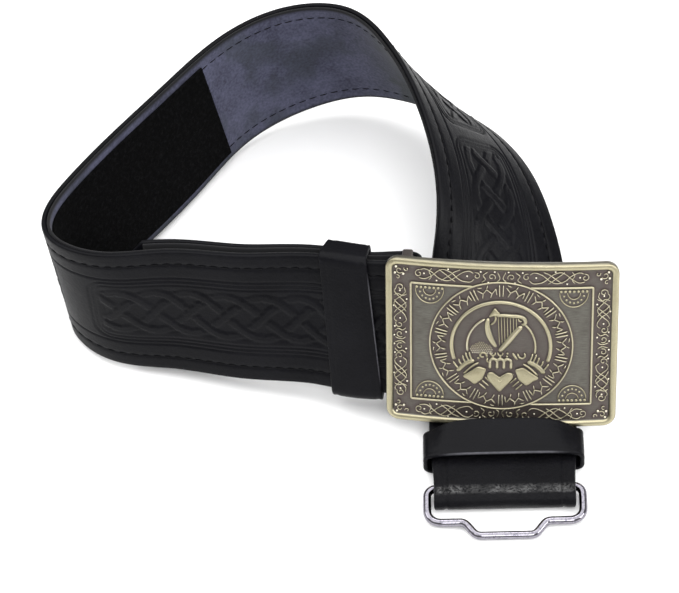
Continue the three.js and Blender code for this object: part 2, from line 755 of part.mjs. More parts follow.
// Block with its edges along the plate's axes, from its middle and its three sizes
function plateBlock(right, rise, height, [width, tall, deep]) {
  const place = new THREE.Matrix4().makeBasis(plateRight, plateRise, plateOut)
    .setPosition(reach(plateCentre, [plateRight, right], [plateRise, rise], [plateOut, height]));
  return welded(new THREE.BoxGeometry(width, tall, deep)).applyMatrix4(place);
}

// Rear bar on two posts, for the strap to fold round
function rearBar() {
  const postRise = (strapWidth + postThickness) / 2 + postClearance;
  const root = bowAt(barAcross) + plateThickness / 2;
  const deep = barDepth + barDiameter / 2 - root;
  const posts = [-1, 1].map((side) =>
    plateBlock(barAcross, side * postRise, -root - deep / 2, [barDiameter, postThickness, deep]));
  const turn = new THREE.Matrix4().makeBasis(plateRight, plateRise, plateOut).setPosition(barAxis);
  const bar = welded(new THREE.CylinderGeometry(barDiameter / 2, barDiameter / 2, 2 * postRise, 16));
  return [...posts, bar.applyMatrix4(turn)];
}

// Plain hook on the back at the right, for the bail
function rearHook() {
  const right = plateWidth / 2 - hookInset;
  const root = bowAt(right) + plateThickness / 2;
  const deep = plateThickness / 2 + hookRoom + hookThickness;
  const post = plateBlock(right, 0, -root - deep / 2, [hookThickness, hookWidth, deep]);
  const prong = plateBlock(right - hookReach / 2, 0, -root - deep + hookThickness / 2,
    [hookReach + hookThickness, hookWidth, hookThickness]);
  return [post, prong];
}

// Cast buckle: bowed plate, rim, raised work, rear bar and hook as one solid
function buckle() {
  const outline = [plateWidth, plateHeight, plateCornerRadius];
  const inner = [plateWidth - 2 * rimWidth, plateHeight - 2 * rimWidth, plateCornerRadius - rimWidth / 2];
  const rim = solid(platePanel(...outline, -reliefRoot, rimHeight))
    .subtract(solid(platePanel(...inner, -1, rimHeight + 1)));
  const pieces = [
    ...dividers(), ...borderKnots(), ...ringKnotsGeometries(), ...cornerFans(),
    ...harp(), ...crown(), heart(), ...hands(), ...rearBar(), ...rearHook(),
  ];
  const whole = pieces.reduce((sum, piece) => sum.add(solid(piece)),
    solid(platePanel(...outline, -plateThickness, 0)).add(rim));
  const mesh = whole.getMesh();
  const geometry = new THREE.BufferGeometry();
  geometry.setAttribute('position', new THREE.Float32BufferAttribute(mesh.vertProperties, 3));
  geometry.setIndex(Array.from(mesh.triVerts));
  return geometry;
}

// Finishes
const leatherFinish = { color: 0x1c1a1e, roughness: 0.55, metalness: 0 };
const liningFinish = { color: 0x4a4c58, roughness: 0.9, metalness: 0 };
const patchFinish = { color: 0x0b0b0c, roughness: 1, metalness: 0 };
const brassFinish = { color: 0x9a8f68, roughness: 0.35, metalness: 1 };
const chromeFinish = { color: 0xc8c9cc, roughness: 0.15, metalness: 1 };

// Named mesh with a finish of its own
function piece(name, geometry, finish) {
  geometry.computeVertexNormals();
  const mesh = new THREE.Mesh(geometry, new THREE.MeshStandardMaterial(finish));
  mesh.name = name;
  return mesh;
}

const belt = new THREE.Group();
belt.add(
  piece('strap_leather', strapLeather(), leatherFinish),
  piece('strap_lining', strapLining(), liningFinish),
  piece('touch_patch_near', nearPatch(), patchFinish),
  piece('touch_patch_tail', tailPatch(), patchFinish),
  piece('keeper_end', endKeeper(), leatherFinish),
  piece('keeper_near', nearKeeper(), leatherFinish),
  piece('wire_bail', wireBail(), chromeFinish),
  piece('buckle', buckle(), brassFinish),
);

// The belt stands on the surface with the middle of its outline over the origin
const box = new THREE.Box3().setFromObject(belt);
belt.position.set(-(box.min.x + box.max.x) / 2, -(box.min.y + box.max.y) / 2, -box.min.z);
belt.updateMatrixWorld(true);

export default belt;
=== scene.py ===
"""Looks of a kilt belt that lies in a loop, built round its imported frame.

The strap, its lining, touch patches, keepers, bail and buckle are worked out in millimetres from the
same sizes as the solids, as numpy grids, and put into meshes in metres in the frame's own axes.
"""

import json
import logging
import math
from dataclasses import dataclass, field
from enum import Enum

import bpy
import numpy as np
from mathutils import Euler, Matrix


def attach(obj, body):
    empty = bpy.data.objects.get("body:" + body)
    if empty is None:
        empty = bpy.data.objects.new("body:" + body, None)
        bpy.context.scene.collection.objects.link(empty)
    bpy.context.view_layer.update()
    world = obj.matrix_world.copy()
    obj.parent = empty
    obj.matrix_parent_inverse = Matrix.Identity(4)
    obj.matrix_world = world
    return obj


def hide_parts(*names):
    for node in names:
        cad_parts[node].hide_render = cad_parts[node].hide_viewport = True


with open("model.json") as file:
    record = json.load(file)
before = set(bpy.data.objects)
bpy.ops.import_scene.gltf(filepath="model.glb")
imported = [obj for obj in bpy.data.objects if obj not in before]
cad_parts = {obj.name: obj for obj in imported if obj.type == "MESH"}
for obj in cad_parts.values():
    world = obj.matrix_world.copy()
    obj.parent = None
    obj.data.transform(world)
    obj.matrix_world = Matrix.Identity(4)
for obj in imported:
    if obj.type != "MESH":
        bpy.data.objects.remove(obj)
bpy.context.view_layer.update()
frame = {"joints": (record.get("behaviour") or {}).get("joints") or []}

LOG = logging.getLogger("kilt_belt")
MM = 0.001
UP = np.array([0.0, 0.0, 1.0])

Colour = tuple[float, float, float]
Points = np.ndarray | list[list[float]] | tuple[tuple[float, float], ...]


class Slot(Enum):
    """Material slots of the record."""

    LEATHER = "black_leather"
    LINING = "grey_lining"
    PILE = "black_pile"
    CHROME = "chromed_wire"
    BRASS = "antique_brass"


class Body(Enum):
    """Bodies of the record that pieces ride on."""

    BELT = "belt"
    BAIL = "bail"


# Shapes.


def unit(vectors: np.ndarray) -> np.ndarray:
    """Vectors divided by their lengths."""
    return vectors / np.linalg.norm(vectors, axis=-1, keepdims=True)


def ease(values: np.ndarray, start: float, end: float) -> np.ndarray:
    """Smooth step from 0 to 1: t squared times three less 2 t, with t the share between start and end."""
    share = np.clip((values - start) / (end - start), 0.0, 1.0)
    return share * share * (3.0 - 2.0 * share)


def spread(start: float, end: float, step: float) -> np.ndarray:
    """Evenly spaced values from start to end, both included, about a step apart."""
    return np.linspace(start, end, max(1, round(abs(end - start) / step)) + 1)


def mix(first: np.ndarray, second: np.ndarray, share: np.ndarray) -> np.ndarray:
    """First times one less share, plus second times share."""
    return first * (1.0 - share) + second * share


def hermite(ends: tuple[np.ndarray, np.ndarray], slopes: tuple[np.ndarray, np.ndarray],
            share: np.ndarray) -> np.ndarray:
    """Cubic that joins two ends with given slopes, by Hermite's four curves.

    Args:
        ends: Values at the start and at the end.
        slopes: Slopes at the start and at the end, over the whole stretch.
        share: Share of the stretch run, from 0 to 1.

    Returns:
        The values there.
    """
    square, cube = share ** 2, share ** 3
    return (ends[0] * (2 * cube - 3 * square + 1) + ends[1] * (3 * square - 2 * cube)
            + slopes[0] * (cube - 2 * square + share) + slopes[1] * (cube - square))


class MeshParts:
    """Grids of points gathered into one mesh, each point with a place on its surface and a tone."""

    def __init__(self) -> None:
        """Starts with nothing."""
        self.points: list[np.ndarray] = []
        self.quads: list[np.ndarray] = []
        self.places: list[np.ndarray] = []
        self.tones: list[np.ndarray] = []
        self.count = 0

    def add(self, grid: np.ndarray, wrap_rows: bool = False, wrap_columns: bool = False,
            place: np.ndarray | None = None, tone: np.ndarray | float = 0.0, caps: bool = False) -> None:
        """Adds a grid of points as four-sided faces.

        Args:
            grid: Points, rows by columns by 3, in mm.
            wrap_rows: Whether the last row joins the first.
            wrap_columns: Whether the last column joins the first.
            place: Surface coordinates, rows by columns by 3.
            tone: Tone of each point: on the casting 0 for the ground, 1 for polished crests and above 1 a
                painted highlight; on the leather a painted highlight; on the lining its dye and painted
                shade.
            caps: Whether the first and last rows are closed over, by pairing their opposite columns.
        """
        rows, columns = grid.shape[:2]
        index = np.arange(rows * columns).reshape(rows, columns) + self.count
        along = np.concatenate([index, index[:1]]) if wrap_rows else index
        around = np.concatenate([along, along[:, :1]], axis=1) if wrap_columns else along
        corners = [around[:-1, :-1], around[1:, :-1], around[1:, 1:], around[:-1, 1:]]
        faces = [np.stack([corner.ravel() for corner in corners], axis=1)]
        if caps:
            half = columns // 2
            for row, turned in ((index[0], False), (index[-1], True)):
                near, far = row[: half], row[::-1][: half]
                cap = np.stack([near[:-1], near[1:], far[1:], far[:-1]], axis=1)
                faces.append(cap[:, ::-1] if turned else cap)
        quads = np.concatenate(faces)
        flat = grid.reshape(-1, 3)
        self.points.append(flat)
        self.quads.append(self._outward(flat, quads - self.count) + self.count)
        self.places.append(np.zeros_like(flat) if place is None else place.reshape(-1, 3))
        self.tones.append(np.broadcast_to(np.asarray(tone, float), (rows, columns)).ravel())
        self.count += rows * columns

    @staticmethod
    def _outward(points: np.ndarray, quads: np.ndarray) -> np.ndarray:
        """Faces that look outward.

        Args:
            points: Corners of the faces.
            quads: Numbers of each face's four corners.

        Returns:
            The faces, turned over if the volume that they enclose comes out below nothing.
        """
        corners = points[quads] - points.mean(axis=0)
        volume = np.einsum("ij,ij->i", corners[:, 0], np.cross(corners[:, 1], corners[:, 2])).sum()
        volume += np.einsum("ij,ij->i", corners[:, 0], np.cross(corners[:, 2], corners[:, 3])).sum()
        return quads[:, ::-1] if volume < 0 else quads

    def build(self, name: str, material: bpy.types.Material, slot: Slot, body: Body,
              node: str | None = None) -> None:
        """Makes the piece at the origin, in metres, smooth shaded, dressed and riding on its body.

        Args:
            name: Name of the piece.
            material: Its finish.
            slot: Material slot of the record; not used.
            body: Body that it rides on.
            node: Node of the solids that it replaces.
        """
        points = np.concatenate(self.points) * MM
        quads = np.concatenate(self.quads)
        mesh = bpy.data.meshes.new(name)
        mesh.vertices.add(len(points))
        mesh.vertices.foreach_set("co", points.astype(np.float32).ravel())
        mesh.loops.add(quads.size)
        mesh.loops.foreach_set("vertex_index", quads.astype(np.int32).ravel())
        mesh.polygons.add(len(quads))
        mesh.polygons.foreach_set("loop_start", np.arange(0, quads.size, 4, dtype=np.int32))
        mesh.polygons.foreach_set("use_smooth", np.ones(len(quads), dtype=bool))
        mesh.attributes.new("place", "FLOAT_VECTOR", "POINT").data.foreach_set(
            "vector", np.concatenate(self.places).astype(np.float32).ravel())
        mesh.attributes.new("tone", "FLOAT", "POINT").data.foreach_set(
            "value", np.concatenate(self.tones).astype(np.float32))
        mesh.update(calc_edges=True)
        mesh.validate()
        mesh.materials.append(material)
        piece = bpy.data.objects.new(name, mesh)
        bpy.context.scene.collection.objects.link(piece)
        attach(piece, body.value)
        if node is not None:
            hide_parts(node)
        LOG.info("%s: %d faces", name, len(quads))


# The strap's path.


@dataclass
class Stations:
    """Stations of a layer: middles, directions across and out, edges across, and distance run."""

    middle: np.ndarray
    across: np.ndarray
    out: np.ndarray
    low: np.ndarray
    high: np.ndarray
    run: np.ndarray

    @staticmethod
    def joined(parts: "list[Stations]") -> "Stations":
        """Several stretches of stations as one."""
        names = ("middle", "across", "out", "low", "high", "run")
        return Stations(*(np.concatenate([getattr(part, name) for part in parts]) for name in names))


# Rows of the strap's middle line: share of the loop's width, share of its depth, height of the lower
# edge over the surface as a share of the strap's width, and angle in degrees at which the strap stands.
SECTIONS = np.array([
    [0.985, 0.405, 0.02, 12], [0.995, 0.53, 0.12, 31], [0.98, 0.655, 0.25, 40], [0.925, 0.79, 0.265, 51],
    [0.835, 0.91, 0.215, 67], [0.715, 1.0, 0.16, 83], [0.56, 1.01, 0.09, 95], [0.415, 0.95, 0.03, 99],
    [0.3, 0.845, 0, 102], [0.075, 0.615, 0, 101], [0.01, 0.505, 0, 95], [0.105, 0.41, 0.035, 84],
    [0.255, 0.38, 0.07, 76], [0.415, 0.34, 0.11, 72], [0.58, 0.31, 0.15, 68],
])


@dataclass
class Plan:
    """Sizes of the belt in mm and degrees, and the places that follow from them."""

    strap_width: float = 57.0
    end_width: float = 54.0
    leather: float = 2.0
    lining: float = 1.0
    lining_inset: float = 0.5
    gap: float = 0.3
    loop_width: float = 176.0
    loop_depth: float = 204.0
    lying_length: float = 50.0
    lying_heading: float = 86.0
    end_reach: float = 9.0
    turn_back: float = 34.0
    end_taper: float = 22.0
    wire: float = 3.2
    plate_width: float = 89.0
    plate_overlap: float = 6.5
    plate_thickness: float = 2.2
    plate_bow: float = 4.0
    plate_yaw: float = -8.0
    plate_lean: float = 23.0
    bar_inset: float = 8.0
    bar_diameter: float = 4.0
    bar_room: float = 4.0
    post_clearance: float = 1.3
    patch: float = 1.0
    patch_clearance: float = 16.0
    tail_length: float = 112.0
    tail_cut: float = 9.0
    keeper_wall: float = 1.8
    bail_across: float = 0.955
    plate_across: float = 0.97
    plate_back: float = 0.19
    bar_approach: float = 14.0

    def __post_init__(self) -> None:
        """Works out the heights, the plate's place, the rear bar and the curve of the middle line."""
        lean, yaw = math.radians(self.plate_lean), math.radians(self.plate_yaw)
        self.plate_height = self.strap_width + 2 * self.plate_overlap
        stack = self.keeper_wall + 2 * self.leather + self.lining + 3 * self.gap
        fold = 2 * self.leather + self.wire + 2 * self.gap
        top = max(stack, fold)
        self.lying_height = top - self.leather - self.gap / 2
        self.leather_offset = self.gap / 2 + self.leather / 2
        self.lining_offset = self.gap / 2 + self.lining / 2
        self.patch_offset = self.lining_offset + self.lining / 2 + self.gap + self.patch / 2
        self.right = np.array([math.cos(yaw), math.sin(yaw), 0.0])
        self.out = np.array([
            math.sin(yaw) * math.cos(lean), -math.cos(yaw) * math.cos(lean), math.sin(lean)])
        self.rise = np.cross(self.out, self.right)
        self.plate_radius = self.plate_width ** 2 / (8 * self.plate_bow)
        behind = self.plate_thickness + self.bow(self.strap_width / 2)
        self.plate_centre = np.array([
            self.plate_across * self.loop_width,
            self.plate_back * self.loop_depth,
            top + self.gap + self.plate_height / 2 * math.cos(lean) + behind * math.sin(lean)])
        self.bar_across = self.bar_inset - self.plate_width / 2
        self.bar_depth = (self.bow(self.bar_across) + self.plate_thickness + self.bar_room + self.leather
                          + self.lining + 3 * self.gap + self.bar_diameter / 2)
        self.bar_axis = self.plate_centre + self.right * self.bar_across - self.out * self.bar_depth
        self.strap_rise = self.post_clearance - self.gap
        self.bar_to_middle = self.bar_diameter / 2 + self.gap + self.lining + self.gap / 2
        strap_end = self.bar_axis + self.out * self.bar_to_middle + self.rise * self.strap_rise
        heading = math.radians(self.lying_heading)
        self.lying = np.array([math.cos(heading), math.sin(heading), 0.0])
        self.bail_bar = np.array([self.bail_across * self.loop_width, 0.0, self.lying_height])
        self.bail_axis = self.bail_bar - UP * (self.gap / 2 + self.wire / 2)
        stand = np.radians(SECTIONS[:, 3])
        height = (np.abs(np.cos(stand)) * self.lying_height
                  + (np.sin(stand) / 2 + SECTIONS[:, 2]) * self.strap_width)
        first = np.append(self.bail_bar + self.lying * self.lying_length, 0.0)
        middle = np.stack([SECTIONS[:, 0] * self.loop_width, SECTIONS[:, 1] * self.loop_depth, height,
                           SECTIONS[:, 3]], axis=1)
        last = np.append(strap_end - self.right * self.bar_approach, 90.0 - self.plate_lean)
        self.rows = np.vstack([first, middle, last])
        steps = np.linalg.norm(np.diff(self.rows[:, :3], axis=0), axis=1)
        self.knots = np.concatenate([[0.0], np.cumsum(steps)])
        self.slopes = self._slopes(np.append(self.lying, 0.0), np.append(self.right, 0.0))
        self.curve = float(self.knots[-1])
        self.length = self.lying_length + self.curve + self.bar_approach
        joint = next(joint for joint in frame["joints"] if joint["name"] == "bail_swing")
        self.shift = np.array(joint["pos_m"]) / MM - self.bail_axis

    def bow(self, distance: float) -> float:
        """Drop of the bowed plate at a distance from its middle: distance squared over twice the radius."""
        return distance * distance / (2 * self.plate_radius)

    def _slopes(self, start: np.ndarray, end: np.ndarray) -> np.ndarray:
        """Slopes at the knots of the smooth cubic, from its linear system.

        Args:
            start: Slope at the first knot.
            end: Slope at the last knot.

        Returns:
            Slopes at all knots.
        """
        gaps = np.diff(self.knots)
        rises = np.diff(self.rows, axis=0) / gaps[:, None]
        count = len(self.knots)
        system = np.eye(count)
        target = np.zeros((count, 4))
        target[0], target[-1] = start, end
        inner = np.arange(1, count - 1)
        system[inner, inner - 1] = 1 / gaps[:-1]
        system[inner, inner] = 2 * (1 / gaps[:-1] + 1 / gaps[1:])
        system[inner, inner + 1] = 1 / gaps[1:]
        target[1:-1] = 3 * (rises[:-1] / gaps[:-1, None] + rises[1:] / gaps[1:, None])
        return np.linalg.solve(system, target)

    def _curve(self, distance: np.ndarray) -> np.ndarray:
        """Values of the smooth cubic.

        Args:
            distance: Distances along the chords between the knots.

        Returns:
            Place and standing angle at each.
        """
        index = np.clip(np.searchsorted(self.knots, distance, side="right") - 1, 0, len(self.knots) - 2)
        gap = (self.knots[index + 1] - self.knots[index])[:, None]
        share = (distance - self.knots[index])[:, None] / gap
        ends = self.rows[index], self.rows[index + 1]
        return hermite(ends, (self.slopes[index] * gap, self.slopes[index + 1] * gap), share)

    def frames(self, distance: np.ndarray) -> tuple[np.ndarray, np.ndarray, np.ndarray, np.ndarray]:
        """Middle, along, across and out of the strap at distances from the bail's bar.

        Args:
            distance: Distances along the middle line, in mm.

        Returns:
            Four arrays of points or directions. Across runs from the upper or left edge to the lower or
            right one, and is the level direction turned about the line by the standing angle.
        """
        nudge = 0.01
        on_curve = np.clip(distance - self.lying_length, 0.0, self.curve)
        values = self._curve(on_curve)
        ahead = self._curve(np.minimum(on_curve + nudge, self.curve))
        behind = self._curve(np.maximum(on_curve - nudge, 0.0))
        along = unit((ahead - behind)[:, :3])
        middle = values[:, :3] + along * (distance - self.lying_length - on_curve)[:, None]
        rise = unit(UP - along * along[:, 2:])
        side = np.cross(along, rise)
        stand = np.radians(values[:, 3])[:, None]
        across = side * np.cos(stand) - rise * np.sin(stand)
        return middle + self.shift, along, across, np.cross(across, along)

    def layer(self, distance: np.ndarray, offset: np.ndarray | float, half: np.ndarray | float) -> Stations:
        """Stations of a layer at an offset out of the middle line.

        Args:
            distance: Distances along the middle line.
            offset: Distance out of it.
            half: Half the layer's width.

        Returns:
            The stations.
        """
        middle, _, across, out = self.frames(distance)
        offset = np.broadcast_to(np.asarray(offset, float), distance.shape)
        half = np.broadcast_to(np.asarray(half, float), distance.shape)
        return Stations(middle + out * offset[:, None], across, out, -half, half.copy(), distance)

    def bar_fold(self, radius: float, half: float, step: float) -> Stations:
        """Stations of a layer round the buckle's rear bar, a half circle from its front to its back.

        Args:
            radius: Distance of the layer from the bar's axis.
            half: Half the layer's width.
            step: Angle between stations, in degrees.

        Returns:
            The stations.
        """
        angle = np.radians(spread(0, 180, step)[1:-1])
        out = np.cos(angle)[:, None] * self.out + np.sin(angle)[:, None] * self.right
        middle = self.bar_axis + self.shift + out * radius + self.rise * self.strap_rise
        edge = np.full(angle.shape, half)
        across = np.broadcast_to(-self.rise, out.shape)
        return Stations(middle, across, out, -edge, edge, self.length + angle * self.bar_to_middle)

    def tail_depth(self, from_bar: np.ndarray) -> np.ndarray:
        """Distance of the tail's middle line behind the near stretch's.

        Args:
            from_bar: Distances from the rear bar.

        Returns:
            Distances that ease from the bar's thickness to that of the patches.
        """
        at_bar = 2 * self.bar_to_middle
        behind = 2 * self.patch_offset + self.patch + self.gap
        return at_bar + (behind - at_bar) * ease(from_bar, 0, self.patch_clearance)

    def tail(self, from_bar: np.ndarray, offset: float, half: float, cut: float = 0.0) -> Stations:
        """Stations of a layer of the tail, which runs back behind the near stretch and faces back.

        Args:
            from_bar: Distances from the rear bar.
            offset: Distance out of the tail's middle line.
            half: Half the layer's width.
            cut: Reach of the corner cut from its end.

        Returns:
            The stations.
        """
        middle, _, across, out = self.frames(self.length - from_bar)
        depth = -self.tail_depth(from_bar) - offset
        low = np.maximum(from_bar + cut - self.tail_length, 0.0) - half
        run = self.length + math.pi * self.bar_to_middle + from_bar
        return Stations(middle + out * depth[:, None], across, -out, low, np.full(from_bar.shape, half), run)


def swept(stations: Stations, thickness: float, edge: float, relief: np.ndarray,
          columns: np.ndarray) -> tuple[np.ndarray, np.ndarray]:
    """Closed skin of a strip of leather or cloth with rounded edges.

    The section runs over the outer face, round one edge by a half ellipse, back over the inner face and
    round the other edge. A point is middle plus across times width plus out times height.

    Args:
        stations: Where the strip runs.
        thickness: Its thickness.
        edge: Reach of the rounded edges across.
        relief: Height added to the outer face, stations by columns.
        columns: Outer face's places across, from -1 to 1 between the rounded edges.

    Returns:
        Points and surface coordinates (run, across, out), both stations by columns by 3.
    """
    half = thickness / 2
    centre = ((stations.low + stations.high) / 2)[:, None]
    flat = ((stations.high - stations.low) / 2 - edge)[:, None]
    turn = np.radians(np.linspace(90, -90, 7)[1:-1])[None]
    ones = np.ones((len(stations.run), 1))
    inner = np.linspace(1, -1, 5)[None]
    bend, lift = edge * np.cos(turn) * ones, half * np.sin(turn) * ones
    widths = np.concatenate([centre + flat * columns[None], centre + flat + bend, centre + flat * inner,
                             centre - flat - bend[:, ::-1]], axis=1)
    heights = np.concatenate([half + relief, lift, -half * np.ones_like(inner) * ones, lift[:, ::-1]], axis=1)
    place = np.stack([stations.run[:, None] * np.ones_like(widths), widths, heights], axis=-1)
    points = (stations.middle[:, None] + stations.across[:, None] * widths[..., None]
              + stations.out[:, None] * heights[..., None])
    return points, place


# Leather, lining and patches.


def groove(distance: np.ndarray, width: float, depth: float) -> np.ndarray:
    """Pressed line: minus depth times the bell curve of distance over width."""
    return -depth * np.exp(-(distance / width) ** 2)


def rounded_box(x: np.ndarray, y: np.ndarray, half_x: float, half_y: float, radius: float) -> np.ndarray:
    """Signed distance to a rectangle with round corners, below nothing inside.

    Args:
        x: Distances along it from its middle.
        y: Distances across it from its middle.
        half_x: Half its length.
        half_y: Half its width.
        radius: Radius of its corners.

    Returns:
        The distances.
    """
    inner_x = np.abs(x) - (half_x - radius)
    inner_y = np.abs(y) - (half_y - radius)
    outside = np.hypot(np.maximum(inner_x, 0), np.maximum(inner_y, 0))
    return outside + np.minimum(np.maximum(inner_x, inner_y), 0) - radius


@dataclass
class Embossing:
    """Pattern pressed into the strap's outer face: edge lines, and panels of a plait with four strands."""

    stitch_at: float = 22.4
    stitch_width: float = 0.5
    line_at: float = 16.1
    line_width: float = 0.42
    line_depth: float = 0.45
    lines_lead: float = 8.0
    lines_fade: float = 3.0
    border_at: float = 14.5
    border_gap: float = 1.7
    border_depths: tuple[float, ...] = (1.0, 0.55, 0.35)
    corner_radius: float = 6.0
    reach: float = 9.2
    strand_width: float = 3.1
    outline: float = 0.75
    period: float = 58.0
    depth: float = 0.6
    half_range: float = 0.5
    sunk: float = 0.15
    anchor_ends_before: float = 200.0
    panels: tuple[tuple[float, float], ...] = ((52.0, 153.0), (160.0, 405.0), (421.0, 640.0))

    def plait(self, run: np.ndarray, across: np.ndarray) -> np.ndarray:
        """Height of the plait, from minus 1 on the ground to 1 on the crest of a strand that passes over.

        Every strand swings as reach times the sine of its angle, and passes over where minus the cosine
        of three times that angle is high. The highest strand near a point sets its height.

        Args:
            run: Distances along the strap.
            across: Distances across it.

        Returns:
            The heights.
        """
        height = np.full(run.shape, -1.0)
        rank = np.full(run.shape, -np.inf)
        half = self.strand_width / 2
        for quarter in range(4):
            angle = 2 * np.pi * (run / self.period + quarter / 4 + 1 / 8)
            slope = self.reach * 2 * np.pi / self.period * np.cos(angle)
            distance = np.abs(across - self.reach * np.sin(angle)) / np.sqrt(1 + slope ** 2)
            over = -np.cos(3 * angle)
            near = (distance < half + self.outline) & (over > rank)
            share = np.clip(distance / half, 0, 1)
            crest = 0.55 + 0.3 * over - 0.22 * np.exp(-(distance / 0.45) ** 2) - 0.35 * share ** 4
            height = np.where(near, np.where(distance < half, crest, -1.0), height)
            rank = np.where(near, over, rank)
        return height

    def relief(self, run: np.ndarray, across: np.ndarray) -> np.ndarray:
        """Height pressed into or raised on the outer face.

        Args:
            run: Distances along the strap.
            across: Distances across it.

        Returns:
            Heights: the edge lines, each panel's border lines, and the plait inside the borders.
        """
        reach = np.abs(across)
        start, end = self.panels[0][0] - self.lines_lead, self.panels[-1][1]
        lined = ease(run, start, start + self.lines_fade) * (1.0 - ease(run, end, end + self.lines_fade))
        height = groove(reach - self.stitch_at, self.stitch_width, self.line_depth)
        height = height + lined * groove(reach - self.line_at, self.line_width, self.line_depth)
        for first, last in self.panels:
            middle, half = (first + last) / 2, (last - first) / 2
            edge = rounded_box(run - middle, across, half, self.border_at, self.corner_radius)
            beyond = np.abs(run - middle) - half
            for index, depth in enumerate(self.border_depths):
                strength = mix(depth, 1.0, ease(beyond, -self.corner_radius, 0.0))
                line = groove(edge + index * self.border_gap, self.line_width, self.line_depth)
                height = height + strength * line
            inner = (len(self.border_depths) - 1) * self.border_gap
            inside = 1.0 - ease(edge, -inner - 1.0, -inner - 0.3)
            anchor = last - inner if last < self.anchor_ends_before else first + inner
            woven = self.depth * self.half_range * self.plait(run - anchor, across)
            height = height + inside * (woven - self.depth * self.sunk)
        return height


@dataclass
class Stitching:
    """Row of lock stitches: short threads that dip into the leather at both ends."""

    pitch: float = 4.6
    length: float = 3.3
    thickness: float = 0.62
    start: float = 46.0
    dip: float = 0.28

    def add(self, parts: MeshParts, plan: Plan, across: float, height: float) -> None:
        """Adds a row of stitches as far as the strap's end.

        A thread's radius shrinks as the square root of the cosine of an angle that runs along it, and its
        middle line dips by the square of that angle's sine.

        Args:
            parts: Mesh that the stitches join.
            plan: The belt's sizes and path.
            across: The row's distance across the strap.
            height: Height of the threads over the strap's middle line, below nothing on the lining.
        """
        at = np.arange(self.start + self.pitch / 2, plan.length, self.pitch)
        middle, along, across_way, out = plan.frames(at)
        middle = middle + across_way * across + out * height
        lengths = np.radians(np.linspace(-80, 80, 6))[:, None]
        around = np.radians(np.arange(6) * 60.0 + 30.0)[None]
        radius = self.thickness / 2 * np.sqrt(np.cos(lengths))
        forward = self.length / 2 * np.sin(lengths) * np.ones_like(around)
        aside = radius * np.cos(around)
        lift = math.copysign(1.0, height) * (radius * 0.8 * np.sin(around) - self.dip * np.sin(lengths) ** 2)
        grid = (middle[:, None, None] + along[:, None, None] * forward[None, ..., None]
                + across_way[:, None, None] * aside[None, ..., None]
                + out[:, None, None] * lift[None, ..., None])
        for stitch in grid:
            parts.add(stitch, wrap_columns=True, caps=True)


